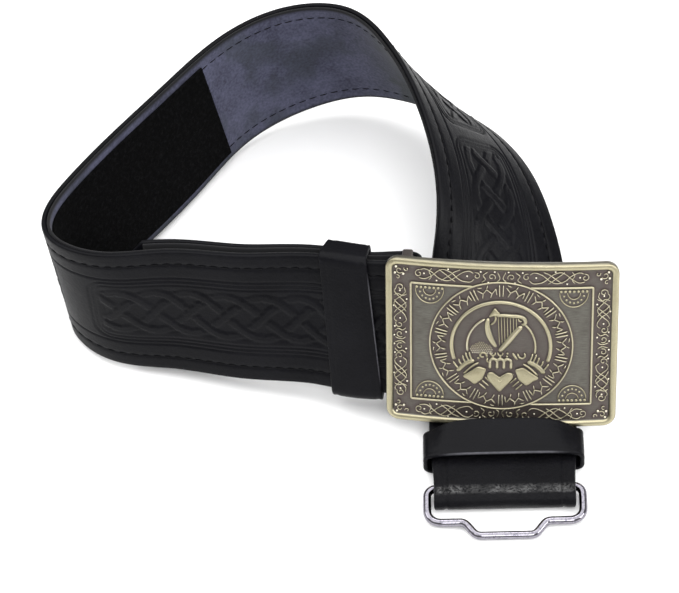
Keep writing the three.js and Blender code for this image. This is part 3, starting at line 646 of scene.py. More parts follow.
@dataclass
class Strap:
    """Leather strip, lining and stitches."""

    plan: Plan
    embossing: Embossing = field(default_factory=Embossing)
    stitching: Stitching = field(default_factory=Stitching)
    inner_stitching: Stitching = field(default_factory=lambda: Stitching(length=4.0, thickness=0.46))
    fine_step: float = 0.75
    coarse_step: float = 1.6
    fold_step: float = 9.0
    edge: float = 0.8
    lining_edge: float = 0.45
    lining_swell: float = 0.2
    dyed_margin: float = 1.3
    shaded_tail_margin: float = 5.0
    lining_groove: tuple[float, float] = (0.9, 0.25)
    back_run: float = 40.0
    fold_run: tuple[float, float] = (14.0, 1.0)
    thread_sink: float = 0.1
    inner_thread_sink: float = 0.02

    def _end_width(self, distance: np.ndarray) -> np.ndarray:
        """Width of the leather near its lying end: eases from the end's width to the strap's."""
        plan = self.plan
        return mix(plan.end_width, plan.strap_width, ease(distance, 0, plan.end_taper))

    def leather_stations(self) -> Stations:
        """Stations of the leather, from its turned-back end to its tail's end.

        Returns:
            Stations of the turned-back ply, the loop between its two folds, and the tail.
        """
        plan = self.plan
        radius = (plan.wire + 2 * plan.gap + plan.leather) / 2
        slot = plan.leather_offset - radius
        start = radius + plan.leather / 2 - plan.end_reach
        under = -plan.lining_offset - plan.lining / 2 - plan.gap - plan.leather / 2
        back = spread(plan.turn_back, start, self.coarse_step)
        sink = (slot - radius - under) * (1 - ease(back, plan.wire, plan.wire + plan.end_reach))
        turned = plan.layer(back, under + sink, self._end_width(back) / 2 - plan.lining_inset)
        turned.out, turned.run = -turned.out, -back - self.back_run
        angle = np.radians(spread(0, 180, self.fold_step)[1:-1])[:, None]
        middle, along, across, out = plan.frames(np.array([start]))
        lean = -np.cos(angle) * out - np.sin(angle) * along
        half = np.full(len(angle), plan.end_width / 2)
        run = np.linspace(start - self.fold_run[0], start - self.fold_run[1], len(angle))
        fold = Stations(middle + out * slot + lean * radius, np.repeat(across, len(angle), 0), lean,
                        -half, half, run)
        flat_run = spread(start, plan.lying_length, self.coarse_step)
        flat = plan.layer(flat_run, plan.leather_offset, self._end_width(flat_run) / 2)
        loop_run = spread(plan.lying_length, plan.length, self.fine_step)[1:]
        loop = plan.layer(loop_run, plan.leather_offset, plan.strap_width / 2)
        bend = plan.bar_fold(plan.bar_to_middle + plan.leather_offset, plan.strap_width / 2, self.fold_step)
        straight = plan.tail_length - plan.tail_cut
        tail_run = np.append(spread(0, straight, self.coarse_step),
                             spread(straight, plan.tail_length, self.fine_step)[1:])
        tail = plan.tail(tail_run, plan.leather_offset, plan.strap_width / 2, plan.tail_cut)
        return Stations.joined([turned, fold, flat, loop, bend, tail])

    def outer_columns(self) -> np.ndarray:
        """Places across the outer face, close together where the pattern is fine.

        Returns:
            Places from -1 to 1.
        """
        half = self.plan.strap_width / 2 - self.edge
        plain = [18.4, 20.2, 21.3, 21.9, 22.4, 22.9, 23.5, 24.8, 26.2, half]
        side = np.concatenate([np.linspace(0, 12.3, 22), np.linspace(12.6, 17.2, 13), plain]) / half
        return np.concatenate([-side[:0:-1], side])

    def build(self, leather: bpy.types.Material, lining: bpy.types.Material,
              thread: bpy.types.Material) -> None:
        """Builds the leather, the lining and their stitches, the leather paler on one side of its steep
        relief as a painted highlight.

        Args:
            leather: Finish of the leather.
            lining: Finish of the lining.
            thread: Finish of the stitches.
        """
        stations = self.leather_stations()
        columns = self.outer_columns()
        half = (stations.high - stations.low) / 2 - self.edge
        across = (stations.high + stations.low)[:, None] / 2 + half[:, None] * columns[None]
        relief = self.embossing.relief(stations.run[:, None] * np.ones_like(across), across)
        points, place = swept(stations, self.plan.leather, self.edge, relief, columns)
        slope = np.gradient(relief, axis=1) / np.gradient(across, axis=1)
        tone = np.zeros(points.shape[:2])
        # Painted highlight: paler colour on relief that rises toward the lower or right edge.
        tone[:, : len(columns)] = 0.5 * ease(slope, 0.5, 1.0)
        parts = MeshParts()
        parts.add(points, wrap_columns=True, place=place, tone=tone, caps=True)
        parts.build("strap_leather_embossed", leather, Slot.LEATHER, Body.BELT, "strap_leather")
        self._build_lining(lining)
        self._build_stitches(thread)

    def _build_lining(self, finish: bpy.types.Material) -> None:
        """Builds the lining, its visible face toward the inside of the loop, its edges dyed and a wider
        margin along the tail's edges painted dark as shade.

        Args:
            finish: Finish of the lining.
        """
        plan = self.plan
        half = plan.strap_width / 2 - plan.lining_inset
        narrow = plan.end_width / 2 - plan.lining_inset
        flat_run = spread(plan.end_reach, plan.lying_length, self.coarse_step)
        flat = plan.layer(flat_run, -plan.lining_offset, mix(narrow, half, ease(flat_run, 0, plan.end_taper)))
        loop_run = spread(plan.lying_length, plan.length, self.coarse_step)[1:]
        loop = plan.layer(loop_run, -plan.lining_offset, half)
        bend = plan.bar_fold(plan.bar_to_middle - plan.lining_offset, half, self.fold_step)
        tail_run = spread(0, plan.tail_length - plan.tail_cut - plan.lining_inset, self.coarse_step)
        stations = Stations.joined([flat, loop, bend, plan.tail(tail_run, -plan.lining_offset, half)])
        stations.out = -stations.out
        columns = np.linspace(-1, 1, 33)
        across = half * columns[None] * np.ones((len(stations.run), 1))
        relief = groove(np.abs(across) - self.embossing.stitch_at, *self.lining_groove)
        points, place = swept(stations, plan.lining + self.lining_swell, self.lining_edge, relief, columns)
        # Along the tail the dark margin is wider: painted shade where the edge lies in shadow behind the near
        # stretch.
        margin = np.where(place[..., 0] > plan.length, self.shaded_tail_margin, self.dyed_margin)
        dyed_and_shaded = ease(half - np.abs(place[..., 1]), margin, margin - 0.5)
        parts = MeshParts()
        parts.add(points, wrap_columns=True, place=place, tone=dyed_and_shaded, caps=True)
        parts.build("lining_suede", finish, Slot.LINING, Body.BELT, "strap_lining")

    def _build_stitches(self, finish: bpy.types.Material) -> None:
        """Builds the rows of stitches along both edges, outside and inside, sunk a little in the faces.

        Args:
            finish: Finish of the thread.
        """
        plan = self.plan
        face = plan.leather_offset + plan.leather / 2 - self.thread_sink
        back = -plan.lining_offset - plan.lining / 2 - self.inner_thread_sink
        parts = MeshParts()
        for side in (-1, 1):
            self.stitching.add(parts, plan, side * self.embossing.stitch_at, face)
            self.inner_stitching.add(parts, plan, side * self.embossing.stitch_at, back)
        parts.build("edge_stitches", finish, Slot.LEATHER, Body.BELT)


@dataclass
class TouchPatches:
    """Loop pile patch along the lining, and the short one on the tail that is pressed on it."""

    plan: Plan
    width: float = 49.0
    length: float = 236.0
    tail_margin: float = 17.0
    edge: float = 0.5
    pile: float = 0.06

    def build(self, finish: bpy.types.Material) -> None:
        """Builds both patches, their pile uneven by a sum of three waves that cross each other.

        Args:
            finish: Finish of the pile.
        """
        plan = self.plan
        end = plan.length - plan.patch_clearance
        near = plan.layer(spread(end - self.length, end, 1.0), -plan.patch_offset, self.width / 2)
        run = spread(plan.patch_clearance, plan.tail_length - self.tail_margin, 1.0)
        tail = plan.tail(run, -plan.patch_offset, self.width / 2)
        columns = np.linspace(-1, 1, 49)
        across = self.width / 2 * columns[None]
        for name, node, stations in (("touch_patch_long", "touch_patch_near", near),
                                     ("touch_patch_short", "touch_patch_tail", tail)):
            stations.out = -stations.out
            run = stations.run[:, None]
            relief = self.pile * (np.sin(2.1 * run + 1.3 * across) + np.sin(1.7 * run - 2.3 * across)
                                  + np.sin(0.6 * run + 2.9 * across))
            points, place = swept(stations, plan.patch, self.edge, relief, columns)
            parts = MeshParts()
            parts.add(points, wrap_columns=True, place=place, caps=True)
            parts.build(name, finish, Slot.PILE, Body.BELT, node)


@dataclass
class Keeper:
    """Leather loop round the strap: a flat section with rounded edges carried round a rounded rectangle."""

    plan: Plan
    name: str
    node: str
    distance: float
    width: float
    slack: float
    headroom: float
    skew: float = 0.0
    lying: bool = False
    # Which edge of the roof carries the painted highlight, 1 or -1.
    highlight_side: int = 1
    arch: tuple[float, float] = (0.0, 0.0)
    corner_radius: float = 3.4
    edge: float = 0.55
    line_inset: float = 1.9
    line_width: float = 0.35
    line_depth: float = 0.22

    def _floor(self, distance: np.ndarray) -> np.ndarray:
        """Inner limit of the hollow: a wall over the surface, or just behind the tail.

        Args:
            distance: Distances along the strap.

        Returns:
            Heights over the strap's middle line.
        """
        plan = self.plan
        if self.lying:
            return np.full(distance.shape, plan.keeper_wall - plan.lying_height)
        return -plan.tail_depth(plan.length - distance) - plan.leather - plan.gap / 2 - self.slack

    def build(self, finish: bpy.types.Material) -> None:
        """Builds the keeper.

        The path has four quarter turns joined by straight runs. A point stands at the turn's centre plus
        the section's radius in the direction of the angle, and along the strap by the section's offset.
        The roof is arched by one less the 4.5th power of the share across.

        Args:
            finish: Finish of the leather.
        """
        plan = self.plan
        bend = self.corner_radius - plan.keeper_wall
        turn = np.linspace(0, 90, 7)
        corners = ((1, 1), (-1, 1), (-1, -1), (1, -1))
        angle, level, side = [], [], []
        for index, (here, above) in enumerate(corners):
            following, beneath = corners[(index + 1) % 4]
            steps = 24 if above == beneath else 5
            run = np.linspace(0, 1, steps + 2)[1:-1]
            angle += [turn + index * 90, np.full(steps, index * 90 + 90.0)]
            side += [np.full(7, float(here)), here + (following - here) * run]
            level += [np.full(7, float(above)), above + (beneath - above) * run]
        angle, level, side = (np.concatenate(values)[:, None] for values in (angle, level, side))
        reach = self.width / 2 - self.edge
        across = np.linspace(-1, 1, 15) * reach
        corner = np.radians(np.linspace(90, -90, 7)[1:-1])
        middle_radius = (self.corner_radius + bend) / 2
        half_wall = plan.keeper_wall / 2
        line_at = self.width / 2 - self.line_inset
        rim_line = groove(np.abs(across) - line_at, self.line_width, self.line_depth)
        offset = np.concatenate([across, reach + self.edge * np.cos(corner), across[::-1],
                                 -reach - self.edge * np.cos(corner[::-1])])[None]
        radius = middle_radius + np.concatenate([
            half_wall + rim_line, half_wall * np.sin(corner),
            np.full(len(across), -half_wall), half_wall * np.sin(corner[::-1])])[None]
        x = side * (plan.strap_width / 2 + self.slack - bend) + radius * np.cos(np.radians(angle))
        at = self.distance + offset + self.skew * x / plan.strap_width
        upper = np.clip((level + 1) / 2, 0, 1)
        roof = plan.leather + plan.gap / 2 + self.headroom
        centre = mix(self._floor(at) + bend, roof - bend, upper)
        rise = mix(self.arch[0], self.arch[1], (offset + self.width / 2) / self.width)
        dome = 1.0 - np.abs(np.clip(side, -1.0, 1.0)) ** 4.5
        y = centre + radius * np.sin(np.radians(angle)) + upper * dome * rise
        middle, _, across_way, out = (values.reshape(*at.shape, 3) for values in plan.frames(at.ravel()))
        points = middle + across_way * x[..., None] + out * y[..., None]
        place = np.stack([np.cumsum(np.ones_like(at), axis=0) * 1.5, at, radius * np.ones_like(at)], axis=-1)
        outer = ease(radius, middle_radius, middle_radius + half_wall * 0.6)
        # Painted highlight along one edge of the roof's outer face, fading toward the keeper's sides.
        painted_highlight = ease(offset * self.highlight_side, reach, self.width / 2 - 0.4) * outer
        painted_highlight = painted_highlight * (1.0 - ease(np.abs(side), 0.5, 0.95)) * upper
        parts = MeshParts()
        parts.add(points, wrap_rows=True, wrap_columns=True, place=place,
                  tone=np.broadcast_to(painted_highlight, at.shape))
        parts.build(self.name, finish, Slot.LEATHER, Body.BELT, self.node)


@dataclass
class Bail:
    """Bent wire ring whose bar lies in the strap's folded end, resting on the surface at its front."""

    plan: Plan
    width: float = 59.4
    shoulder_depth: float = 14.8
    front_depth: float = 20.7
    front_width: float = 20.4
    shoulder_width: float = 33.0
    corner_radius: float = 3.2
    shoulder_radius: float = 5.0
    smoothing: int = 6

    def route(self) -> np.ndarray:
        """Middle line of the wire in its own plane, at even steps.

        Returns:
            Points across and forward from its bar.
        """
        half = self.width / 2
        shoulder, front = self.shoulder_width / 2, self.front_width / 2
        first = np.radians(np.linspace(-90, 0, 12))[:, None]
        second = np.radians(np.linspace(0, 90, 12))[:, None]
        step = np.linspace(0, 1, 21)
        side = np.vstack([
            [[0.0, 0.0]],
            np.hstack([half - self.corner_radius + self.corner_radius * np.cos(first),
                       self.corner_radius + self.corner_radius * np.sin(first)]),
            np.hstack([half - self.shoulder_radius + self.shoulder_radius * np.cos(second),
                       self.shoulder_depth - self.shoulder_radius + self.shoulder_radius * np.sin(second)]),
            np.stack([mix(shoulder, front, step),
                      mix(self.shoulder_depth, self.front_depth, ease(step, 0, 1))], axis=1),
            [[0.0, self.front_depth]],
        ])
        ring = np.vstack([side, (side * [-1, 1])[-2:0:-1]])
        closed = np.vstack([ring, ring[:1]])
        run = np.concatenate([[0], np.cumsum(np.linalg.norm(np.diff(closed, axis=0), axis=1))])
        at = np.linspace(0, run[-1], 321)[:-1]
        even = np.stack([np.interp(at, run, closed[:, column]) for column in (0, 1)], axis=1)
        for _ in range(self.smoothing):
            even = (np.roll(even, 1, 0) + 2 * even + np.roll(even, -1, 0)) / 4
        return even

    def build(self, finish: bpy.types.Material) -> None:
        """Builds the wire: a circle carried along the route, about its outward and upward directions.

        Args:
            finish: Finish of the wire.
        """
        plan = self.plan
        radius = plan.wire / 2
        _, along, across, _ = (values[0] for values in plan.frames(np.array([0.0])))
        slope = math.asin((plan.bail_axis[2] - radius) / self.front_depth)
        forward = -along * math.cos(slope) - UP * math.sin(slope)
        normal = np.cross(across, forward)
        route = self.route()
        way = unit(np.roll(route, -1, 0) - np.roll(route, 1, 0))
        outward = np.stack([way[:, 1], -way[:, 0]], axis=1)
        angle = np.radians(np.arange(20) * 18.0)
        flat = route[:, None] + outward[:, None] * (radius * np.cos(angle))[None, :, None]
        points = (plan.bail_axis + plan.shift + across * flat[..., :1] + forward * flat[..., 1:]
                  + normal * (radius * np.sin(angle))[None, :, None])
        parts = MeshParts()
        parts.add(points, wrap_rows=True, wrap_columns=True)
        parts.build("bail_wire", finish, Slot.CHROME, Body.BAIL, "wire_bail")


# Lines on the buckle.


def resampled(line: np.ndarray, step: float, closed: bool = False) -> np.ndarray:
    """Points along straight edges, about a step apart.

    Args:
        line: Corners of the line.
        step: Distance between the new points.
        closed: Whether the last corner repeats the first.

    Returns:
        The points, without the last one if the line is closed.
    """
    run = np.concatenate([[0], np.cumsum(np.linalg.norm(np.diff(line, axis=0), axis=1))])
    at = np.linspace(0, run[-1], max(3, round(run[-1] / step)) + 1)
    even = np.stack([np.interp(at, run, line[:, column]) for column in (0, 1)], axis=1)
    return even[:-1] if closed else even


def smooth_line(points: Points, step: float = 0.35, closed: bool = False) -> np.ndarray:
    """Points along the smooth curve through given ones, about a step apart.

    Every stretch between two points is a Hermite cubic whose end slopes are half the difference of the
    neighbours on both sides.

    Args:
        points: Points to pass through.
        step: Distance between the new points.
        closed: Whether the last point joins the first.

    Returns:
        Points of the curve; a closed one doesn't repeat its first point.
    """
    knots = np.asarray(points, float)
    if closed:
        ring = np.vstack([knots[-1:], knots, knots[:2]])
    else:
        ring = np.vstack([2 * knots[:1] - knots[1:2], knots, 2 * knots[-1:] - knots[-2:-1]])
    share = np.linspace(0, 1, 17)[:-1, None, None]
    start, end = ring[1:-2], ring[2:-1]
    curve = hermite((start, end), ((end - ring[:-3]) / 2, (ring[3:] - start) / 2), share)
    fine = curve.transpose(1, 0, 2).reshape(-1, 2)
    return resampled(np.vstack([fine, ring[1:2] if closed else knots[-1:]]), step, closed)


def bent_line(points: Points, step: float = 0.3) -> np.ndarray:
    """Points along straight edges whose corners a moving mean of three rounds a little.

    Args:
        points: Corners of the line.
        step: Distance between the new points.

    Returns:
        The points.
    """
    line = resampled(np.asarray(points, float), step)
    line[1:-1] = (line[:-2] + 2 * line[1:-1] + line[2:]) / 4
    return line


def arc(centre: tuple[float, float], radius: float, start: float, end: float,
        step: float = 0.35) -> np.ndarray:
    """Points of an arc.

    Args:
        centre: Its centre.
        radius: Its radius.
        start: Angle of its start, in degrees from the right.
        end: Angle of its end.
        step: Distance between the points.

    Returns:
        The points.
    """
    count = max(4, round(abs(math.radians(end - start)) * radius / step))
    angle = np.radians(np.linspace(start, end, count + 1))
    return np.stack([centre[0] + radius * np.cos(angle), centre[1] + radius * np.sin(angle)], axis=1)


def curl(centre: tuple[float, float], radius: float, start: float, turns: float) -> np.ndarray:
    """Points of a spiral that tightens to a quarter of its radius.

    Args:
        centre: Its centre.
        radius: Its radius at the start.
        start: Angle of its start, in degrees from the right.
        turns: How many turns, below nothing clockwise.

    Returns:
        The points.
    """
    count = max(8, round(abs(turns) * 2 * math.pi * radius / 0.35))
    share = np.linspace(0, 1, count + 1)
    angle = math.radians(start) + share * turns * 2 * math.pi
    reach = radius * (1 - 0.75 * share)
    return np.stack([centre[0] + reach * np.cos(angle), centre[1] + reach * np.sin(angle)], axis=1)


def mirrored(points: Points, right: float = -1.0, rise: float = 1.0) -> np.ndarray:
    """Points with their coordinates times the given signs."""
    return np.asarray(points, float) * np.array([right, rise])


# Buckle.


@dataclass
class Casting:
    """Group of shapes on the bowed plate: strands, domed figures and beads, gathered as it makes them."""

    plan: Plan
    marks: list[np.ndarray]
    parts: MeshParts = field(default_factory=MeshParts)
    relief: float = 0.75
    root: float = 0.3

    def make(self) -> None:
        """Adds the group's shapes."""
        raise NotImplementedError

    def on_plate(self, points: np.ndarray, height: np.ndarray | float) -> np.ndarray:
        """Points on the bowed plate: distance right bends round a circle, and height adds to its arm.

        Args:
            points: Points right and up on the flat plate.
            height: Height over the plate's front.

        Returns:
            Points in the frame's axes, in mm.
        """
        plan = self.plan
        height = np.broadcast_to(np.asarray(height, float), points.shape[:-1])[..., None]
        angle = points[..., :1] / plan.plate_radius
        arm = plan.plate_radius + height
        return (plan.plate_centre + plan.shift + plan.right * arm * np.sin(angle)
                + plan.rise * points[..., 1:] + plan.out * (arm * np.cos(angle) - plan.plate_radius))

    def strand(self, route: np.ndarray, width: float, height: float | None = None, closed: bool = False,
               over: np.ndarray | float = 1.0, swell: float = 0.0, tone: float = 1.0) -> None:
        """Adds a raised strand with a half-round top.

        The section's point at an angle is width times half its cosine aside and height times the 0.8th
        power of its sine up, and the strand's ends close in a point.

        Args:
            route: Points right and up on the plate.
            width: Width at the foot.
            height: Height over the plate.
            closed: Whether the last point joins the first.
            over: Height's factor at every point, for strands that pass over and under.
            swell: Share of the width that the middle of the strand gains.
            tone: Tone of the crest; above 1 a painted highlight.
        """
        height = self.relief if height is None else height
        self.marks.append(route)
        wide = (1 + swell * np.sin(math.pi * np.linspace(0, 1, len(route)))) * width
        if closed:
            way = unit(np.roll(route, -1, 0) - np.roll(route, 1, 0))
            size = np.ones(len(route))
        else:
            way = unit(np.gradient(route, axis=0))
            ends = np.minimum(np.arange(len(route)), np.arange(len(route))[::-1])
            size = np.clip(0.45 + 0.3 * ends, 0, 1)
        side = np.stack([-way[:, 1], way[:, 0]], axis=1)
        angle = np.radians([180, 155, 125, 90, 55, 25, 0])
        aside = np.concatenate([[-0.5], 0.5 * np.cos(angle), [0.5]])
        lift = np.concatenate([[0.0], np.sin(np.clip(angle, 0, math.pi)) ** 0.8, [0.0]])
        flat = route[:, None] + side[:, None] * aside[None, :, None] * (wide * size)[:, None, None]
        factor = np.broadcast_to(np.asarray(over, float), size.shape) * size
        level = lift[None] * height * factor[:, None]
        level[:, 0] = level[:, -1] = -self.root
        level[:, [1, -2]] = 0.05
        tones = np.broadcast_to((1.0 + tone) * lift[None] - 1.0, level.shape)
        self.parts.add(self.on_plate(flat, level), wrap_rows=closed, wrap_columns=True, tone=tones,
                       caps=not closed)

    def figure(self, outline: Points, height: float, dome: float) -> None:
        """Adds a raised figure: rings of its outline shrink toward its middle as the top rises in a dome.

        Args:
            outline: Points right and up round the figure.
            height: Height of its edge over the plate.
            dome: Rise of the middle over the edge.
        """
        ring = smooth_line(outline, closed=True)
        ring = ring[: len(ring) // 2 * 2]
        self.marks.append(ring)
        middle = (ring.min(axis=0) + ring.max(axis=0)) / 2
        size = np.array([1.0, 1.0, 0.965, 0.9, 0.7, 0.4, 0.02])
        level = np.array([-self.root, height * 0.55, height * 0.93, height, height + dome * 0.5,
                          height + dome * 0.85, height + dome])
        ones = np.ones((1, len(ring)))
        tones = np.array([-1.0, 0.2, 0.85, 1.0, 0.95, 0.9, 0.9])[:, None] * ones
        flat = middle + (ring - middle)[None] * size[:, None, None]
        self.parts.add(self.on_plate(flat, level[:, None] * ones), wrap_columns=True, tone=tones, caps=True)

    def bead(self, right: float, rise: float, radius: float, height: float, tone: float = 1.0) -> None:
        """Adds a round bead of three rings of eight points and a small cap.

        Args:
            right: Distance right of the plate's middle.
            rise: Distance above it.
            radius: Radius of the foot.
            height: Height over the plate.
            tone: Tone of the crest; above 1 a painted highlight.
        """
        angle = np.radians(np.arange(8) * 45.0)
        ring = np.stack([np.cos(angle), np.sin(angle)], axis=1)
        size = np.array([1.0, 0.95, 0.7, 0.3])[:, None, None] * radius
        level = np.array([-0.2, 0.35, 0.85, 1.0])[:, None] * height * np.ones((1, 8))
        tones = np.array([-1.0, 0.1, tone, tone])[:, None] * np.ones((1, 8))
        flat = np.array([right, rise]) + ring[None] * size
        self.parts.add(self.on_plate(flat, level), wrap_columns=True, tone=tones, caps=True)
        self.marks.append(np.array([[right, rise]]))


@dataclass
class Lines(Casting):
    """Frame lines, round line, arch, halo, fans and stippled ground."""

    frame_inset: float = 10.0
    frame_width: float = 1.05
    ring_diameter: float = 55.2
    ring_width: float = 0.85
    arch_diameter: float = 39.4
    arch_width: float = 1.75
    halo_radius: float = 12.9
    fan_width: float = 5.4
    fan_height: float = 6.0
    fan_beads_at: float = 0.73

    def make(self) -> None:
        """Adds the lines, the fans and the dots."""
        self.dividers()
        self.fans()
        self.stipple()

    def dividers(self) -> None:
        """Adds the frame lines, the round line, the arch and the two halo arcs."""
        plan = self.plan
        right, rise = plan.plate_width / 2 - self.frame_inset, plan.plate_height / 2 - self.frame_inset
        ring = (self.ring_diameter - self.ring_width) / 2
        gap = math.sqrt(ring ** 2 - rise ** 2)
        route = bent_line([[gap, rise], [right, rise], [right, -rise], [gap, -rise]], 0.4)
        # Crest tones above 1 on these lines are painted highlights, strongest on the left halo arc, where
        # light falls from above left.
        for side in (1, -1):
            self.strand(mirrored(route, side), self.frame_width, tone=1.2)
        self.strand(arc((0, 0), ring, 0, 360)[:-1], self.ring_width, closed=True, tone=1.2)
        arch = (self.arch_diameter - self.arch_width) / 2
        self.strand(arc((0, 0), arch, -20.5, 200.5), self.arch_width, 0.95, tone=1.12)
        self.strand(arc((0.2, 0), self.halo_radius, -14, 48), 0.95, tone=1.12)
        self.strand(arc((0.0, 0), self.halo_radius, 119, 192), 1.05, tone=1.3)

    def fans(self) -> None:
        """Adds the four half-round fans with their rows of beads."""
        plan = self.plan
        right = plan.plate_width / 2 - self.frame_inset - 7.2
        rise = plan.plate_height / 2 - self.frame_inset - 2.1
        angle = np.radians(np.linspace(180, 360, 31))
        for x in (-1, 1):
            for y in (-1, 1):
                for share, line in ((1.0, 0.55), (0.45, 0.45)):
                    route = np.stack([right + self.fan_width * share * np.cos(angle),
                                      rise + self.fan_height * share * np.sin(angle)], axis=1)
                    self.strand(mirrored(route, x, y), line, self.relief * 0.7)
                for turn in np.radians([-160, -135, -112, -90, -68, -45, -20]):
                    self.bead(x * (right + self.fan_width * self.fan_beads_at * math.cos(turn)),
                              y * (rise + self.fan_height * self.fan_beads_at * math.sin(turn)), 0.5, 0.4)
                for place in np.linspace(-4.9, 4.9, 7):
                    self.bead(x * (right + place), y * (rise + 0.5), 0.66, 0.6)

    def stipple(self) -> None:
        """Adds the dots on the ground left of the harp's foot, in staggered rows inside the halo."""
        rows, columns = np.meshgrid(np.arange(8), np.arange(11), indexing="ij")
        rise = -3.2 + 0.74 * rows
        right = -11.6 + 0.82 * columns + 0.41 * (rows % 2)
        inside = (np.hypot(right, rise) < 12.0) & (right < -3.9 - 0.35 * rise)
        inside &= rise < 1.6 - 0.16 * (right + 7.5) ** 2
        for x, y in zip(right[inside], rise[inside]):
            # Dot tone falls from 1.5 in the bottom row upward; above 1 it is a painted highlight, brightest
            # at the bottom.
            self.bead(float(x), float(y), 0.3, 0.18, 1.5 - 0.2 * (float(y) + 3.2))


@dataclass
class Knotwork(Casting):
    """Interlaced strands of the four borders, and the band between the rings."""

    band: float = 29.2
    side_band: float = 38.6
    side_shrink: float = 0.72
    thread: float = 0.44
    # Crest tone of the strands: polished, with a painted highlight above 1.
    polish_and_highlight: float = 1.3
    ring_middle: float = 23.5
    ring_reach: float = 2.9
    cells: int = 14

    # Strands of half a border: places along from the middle and across, for a border 66 mm long.
    STRANDS = (
        ((-31.0, 1.5), (-29.0, 2.2), (-26.4, 0.9), (-23.8, -1.2), (-21.0, -2.3), (-18.4, -1.3), (-16.4, 0.3),
         (-14.4, 1.8), (-12.2, 2.3), (-10.6, 1.3)),
        ((-31.4, -1.7), (-28.8, -2.0), (-26.2, -0.3), (-24.0, 1.6), (-21.6, 2.4), (-19.0, 1.3), (-16.9, -0.7),
         (-14.6, -2.0), (-12.0, -2.3), (-10.4, -1.0)),
        ((-23.7, 2.4), (-21.2, 0.5), (-19.4, -1.1), (-17.4, -2.4)),
        ((-22.9, -2.4), (-20.3, -0.4), (-18.0, 1.5), (-15.7, 2.5)),
        ((-27.6, -2.5), (-26.6, -0.9), (-27.4, 1.0), (-26.4, 2.5)),
        ((-7.6, -2.2), (-6.1, -0.8), (-6.9, 0.9), (-5.2, 2.3)),
        ((-1.9, -2.0), (-0.6, -0.3), (-1.5, 2.2)),
    )

    # Curls: place along and across, radius, starting angle and turns. Beads: place along and across.
    CURLS = ((-31.4, 0.0, 1.6, 70, 1.1), (-9.4, 0.4, 1.5, 120, -1.0), (-3.7, 0.2, 1.5, -40, 1.0))
    BEADS = ((-13.0, 0.1), (-7.9, 2.2), (-5.0, -2.2), (-29.4, 0.1), (-20.2, 2.6), (-24.6, -2.5), (-2.6, 2.4))
    CORNER_CURLS = ((38.9, 29.9, 1.5, 215, 0.9), (36.2, 30.6, 1.0, 20, -0.8), (39.6, 26.9, 1.0, 60, 0.8))
    CORNER_BEADS = ((40.2, 31.2), (37.4, 28.4), (40.6, 28.6))

    # Strands between two pairs of bars: shares of half the cell along, and of the band's reach outward.
    CELL = (
        ((-0.66, 0.55), (-0.34, -0.1), (-0.02, 0.4), (0.3, -0.3), (0.62, 0.35)),
        ((-0.34, -0.1), (-0.5, -0.8)), ((-0.02, 0.4), (0.1, 0.92)), ((0.3, -0.3), (0.14, -0.88)),
        ((0.62, 0.35), (0.66, -0.6)), ((-0.6, 0.9), (-0.3, 0.75)),
    )

    def make(self) -> None:
        """Adds the borders and the band."""
        self.borders()
        self.ring_band()

    def border(self, shrink: float, distance: float, upright: bool, side: int) -> None:
        """Adds one border's strands, curls and beads, the second half a mirror image of the first.

        Args:
            shrink: Length of the border over that of the long ones.
            distance: Distance of the border's middle from the plate's middle.
            upright: Whether the border runs up the plate.
            side: Which of the two like borders, 1 or -1.
        """
        scale = np.array([shrink, 1.0])
        middle = np.array([side * distance, 0.0]) if upright else np.array([0.0, side * distance])

        def placed(route: np.ndarray, end: int) -> np.ndarray:
            """Route on the plate, from places along and across the border."""
            turned = mirrored(route, end, side)
            return (turned[:, ::-1] if upright else turned) + middle

        for end in (-1, 1):
            for index, points in enumerate(self.STRANDS):
                route = smooth_line(np.array(points) * scale, 0.3)
                over = 1.0 + 0.22 * np.sin(route[:, 0] * 1.25 / shrink + 2.0 * index)
                self.strand(placed(route, end), self.thread, self.relief * 0.85, over=over, tone=self.polish_and_highlight)
            for along, across, radius, start, turns in self.CURLS:
                route = curl((along * shrink, across), radius, start, turns)
                self.strand(placed(route, end), self.thread, self.relief * 0.8, tone=self.polish_and_highlight)
            # Beads get tone 1.5: polished, with a painted highlight.
            for along, across in self.BEADS:
                right, rise = placed(np.array([[along * shrink, across]]), end)[0]
                self.bead(float(right), float(rise), 0.45, 0.55, 1.5)

    def borders(self) -> None:
        """Adds the knotwork of the four borders, and the curls and beads in the corners."""
        for side in (-1, 1):
            self.border(1.0, self.band, False, side)
            self.border(self.side_shrink, self.side_band, True, side)
        for right in (-1, 1):
            for rise in (-1, 1):
                for x, y, radius, start, turns in self.CORNER_CURLS:
                    route = mirrored(curl((x, y), radius, start, turns), right, rise)
                    self.strand(route, self.thread, self.relief * 0.8, tone=self.polish_and_highlight)
                # Corner beads get tone 1.5: polished, with a painted highlight.
                for x, y in self.CORNER_BEADS:
                    self.bead(right * x, rise * y, 0.6, 0.7, 1.5)

    def ring_band(self) -> None:
        """Adds the band between the rings: paired bars, and forked strands between them."""
        half_cell = 180.0 / self.cells
        for step in range(self.cells):
            centre = 90.0 + half_cell + step * 2 * half_cell
            for lean in (-1, 1):
                bar = [[1 + 0.13 * lean, -0.85], [1 + 0.13 * lean, 0.85]]
                self.strand(self._polar(np.array(bar), centre), 0.6, tone=self.polish_and_highlight)
            for points in self.CELL:
                self.strand(self._polar(np.array(points), centre), self.thread + 0.08,
                            over=1.0 + 0.15 * (step % 2), tone=self.polish_and_highlight)

    def _polar(self, points: np.ndarray, centre: float) -> np.ndarray:
        """Bent line in a cell of the band between the rings.

        Args:
            points: Shares of half a cell along, and of the band's reach outward.
            centre: Angle of the cell's middle, in degrees.

        Returns:
            Points right and up on the plate.
        """
        line = bent_line(points * np.array([180.0 / self.cells / 2.4, self.ring_reach]), 0.32)
        turn = np.radians(centre - line[:, 0] * 2.4)
        reach = self.ring_middle + line[:, 1]
        return np.stack([reach * np.cos(turn), reach * np.sin(turn)], axis=1)


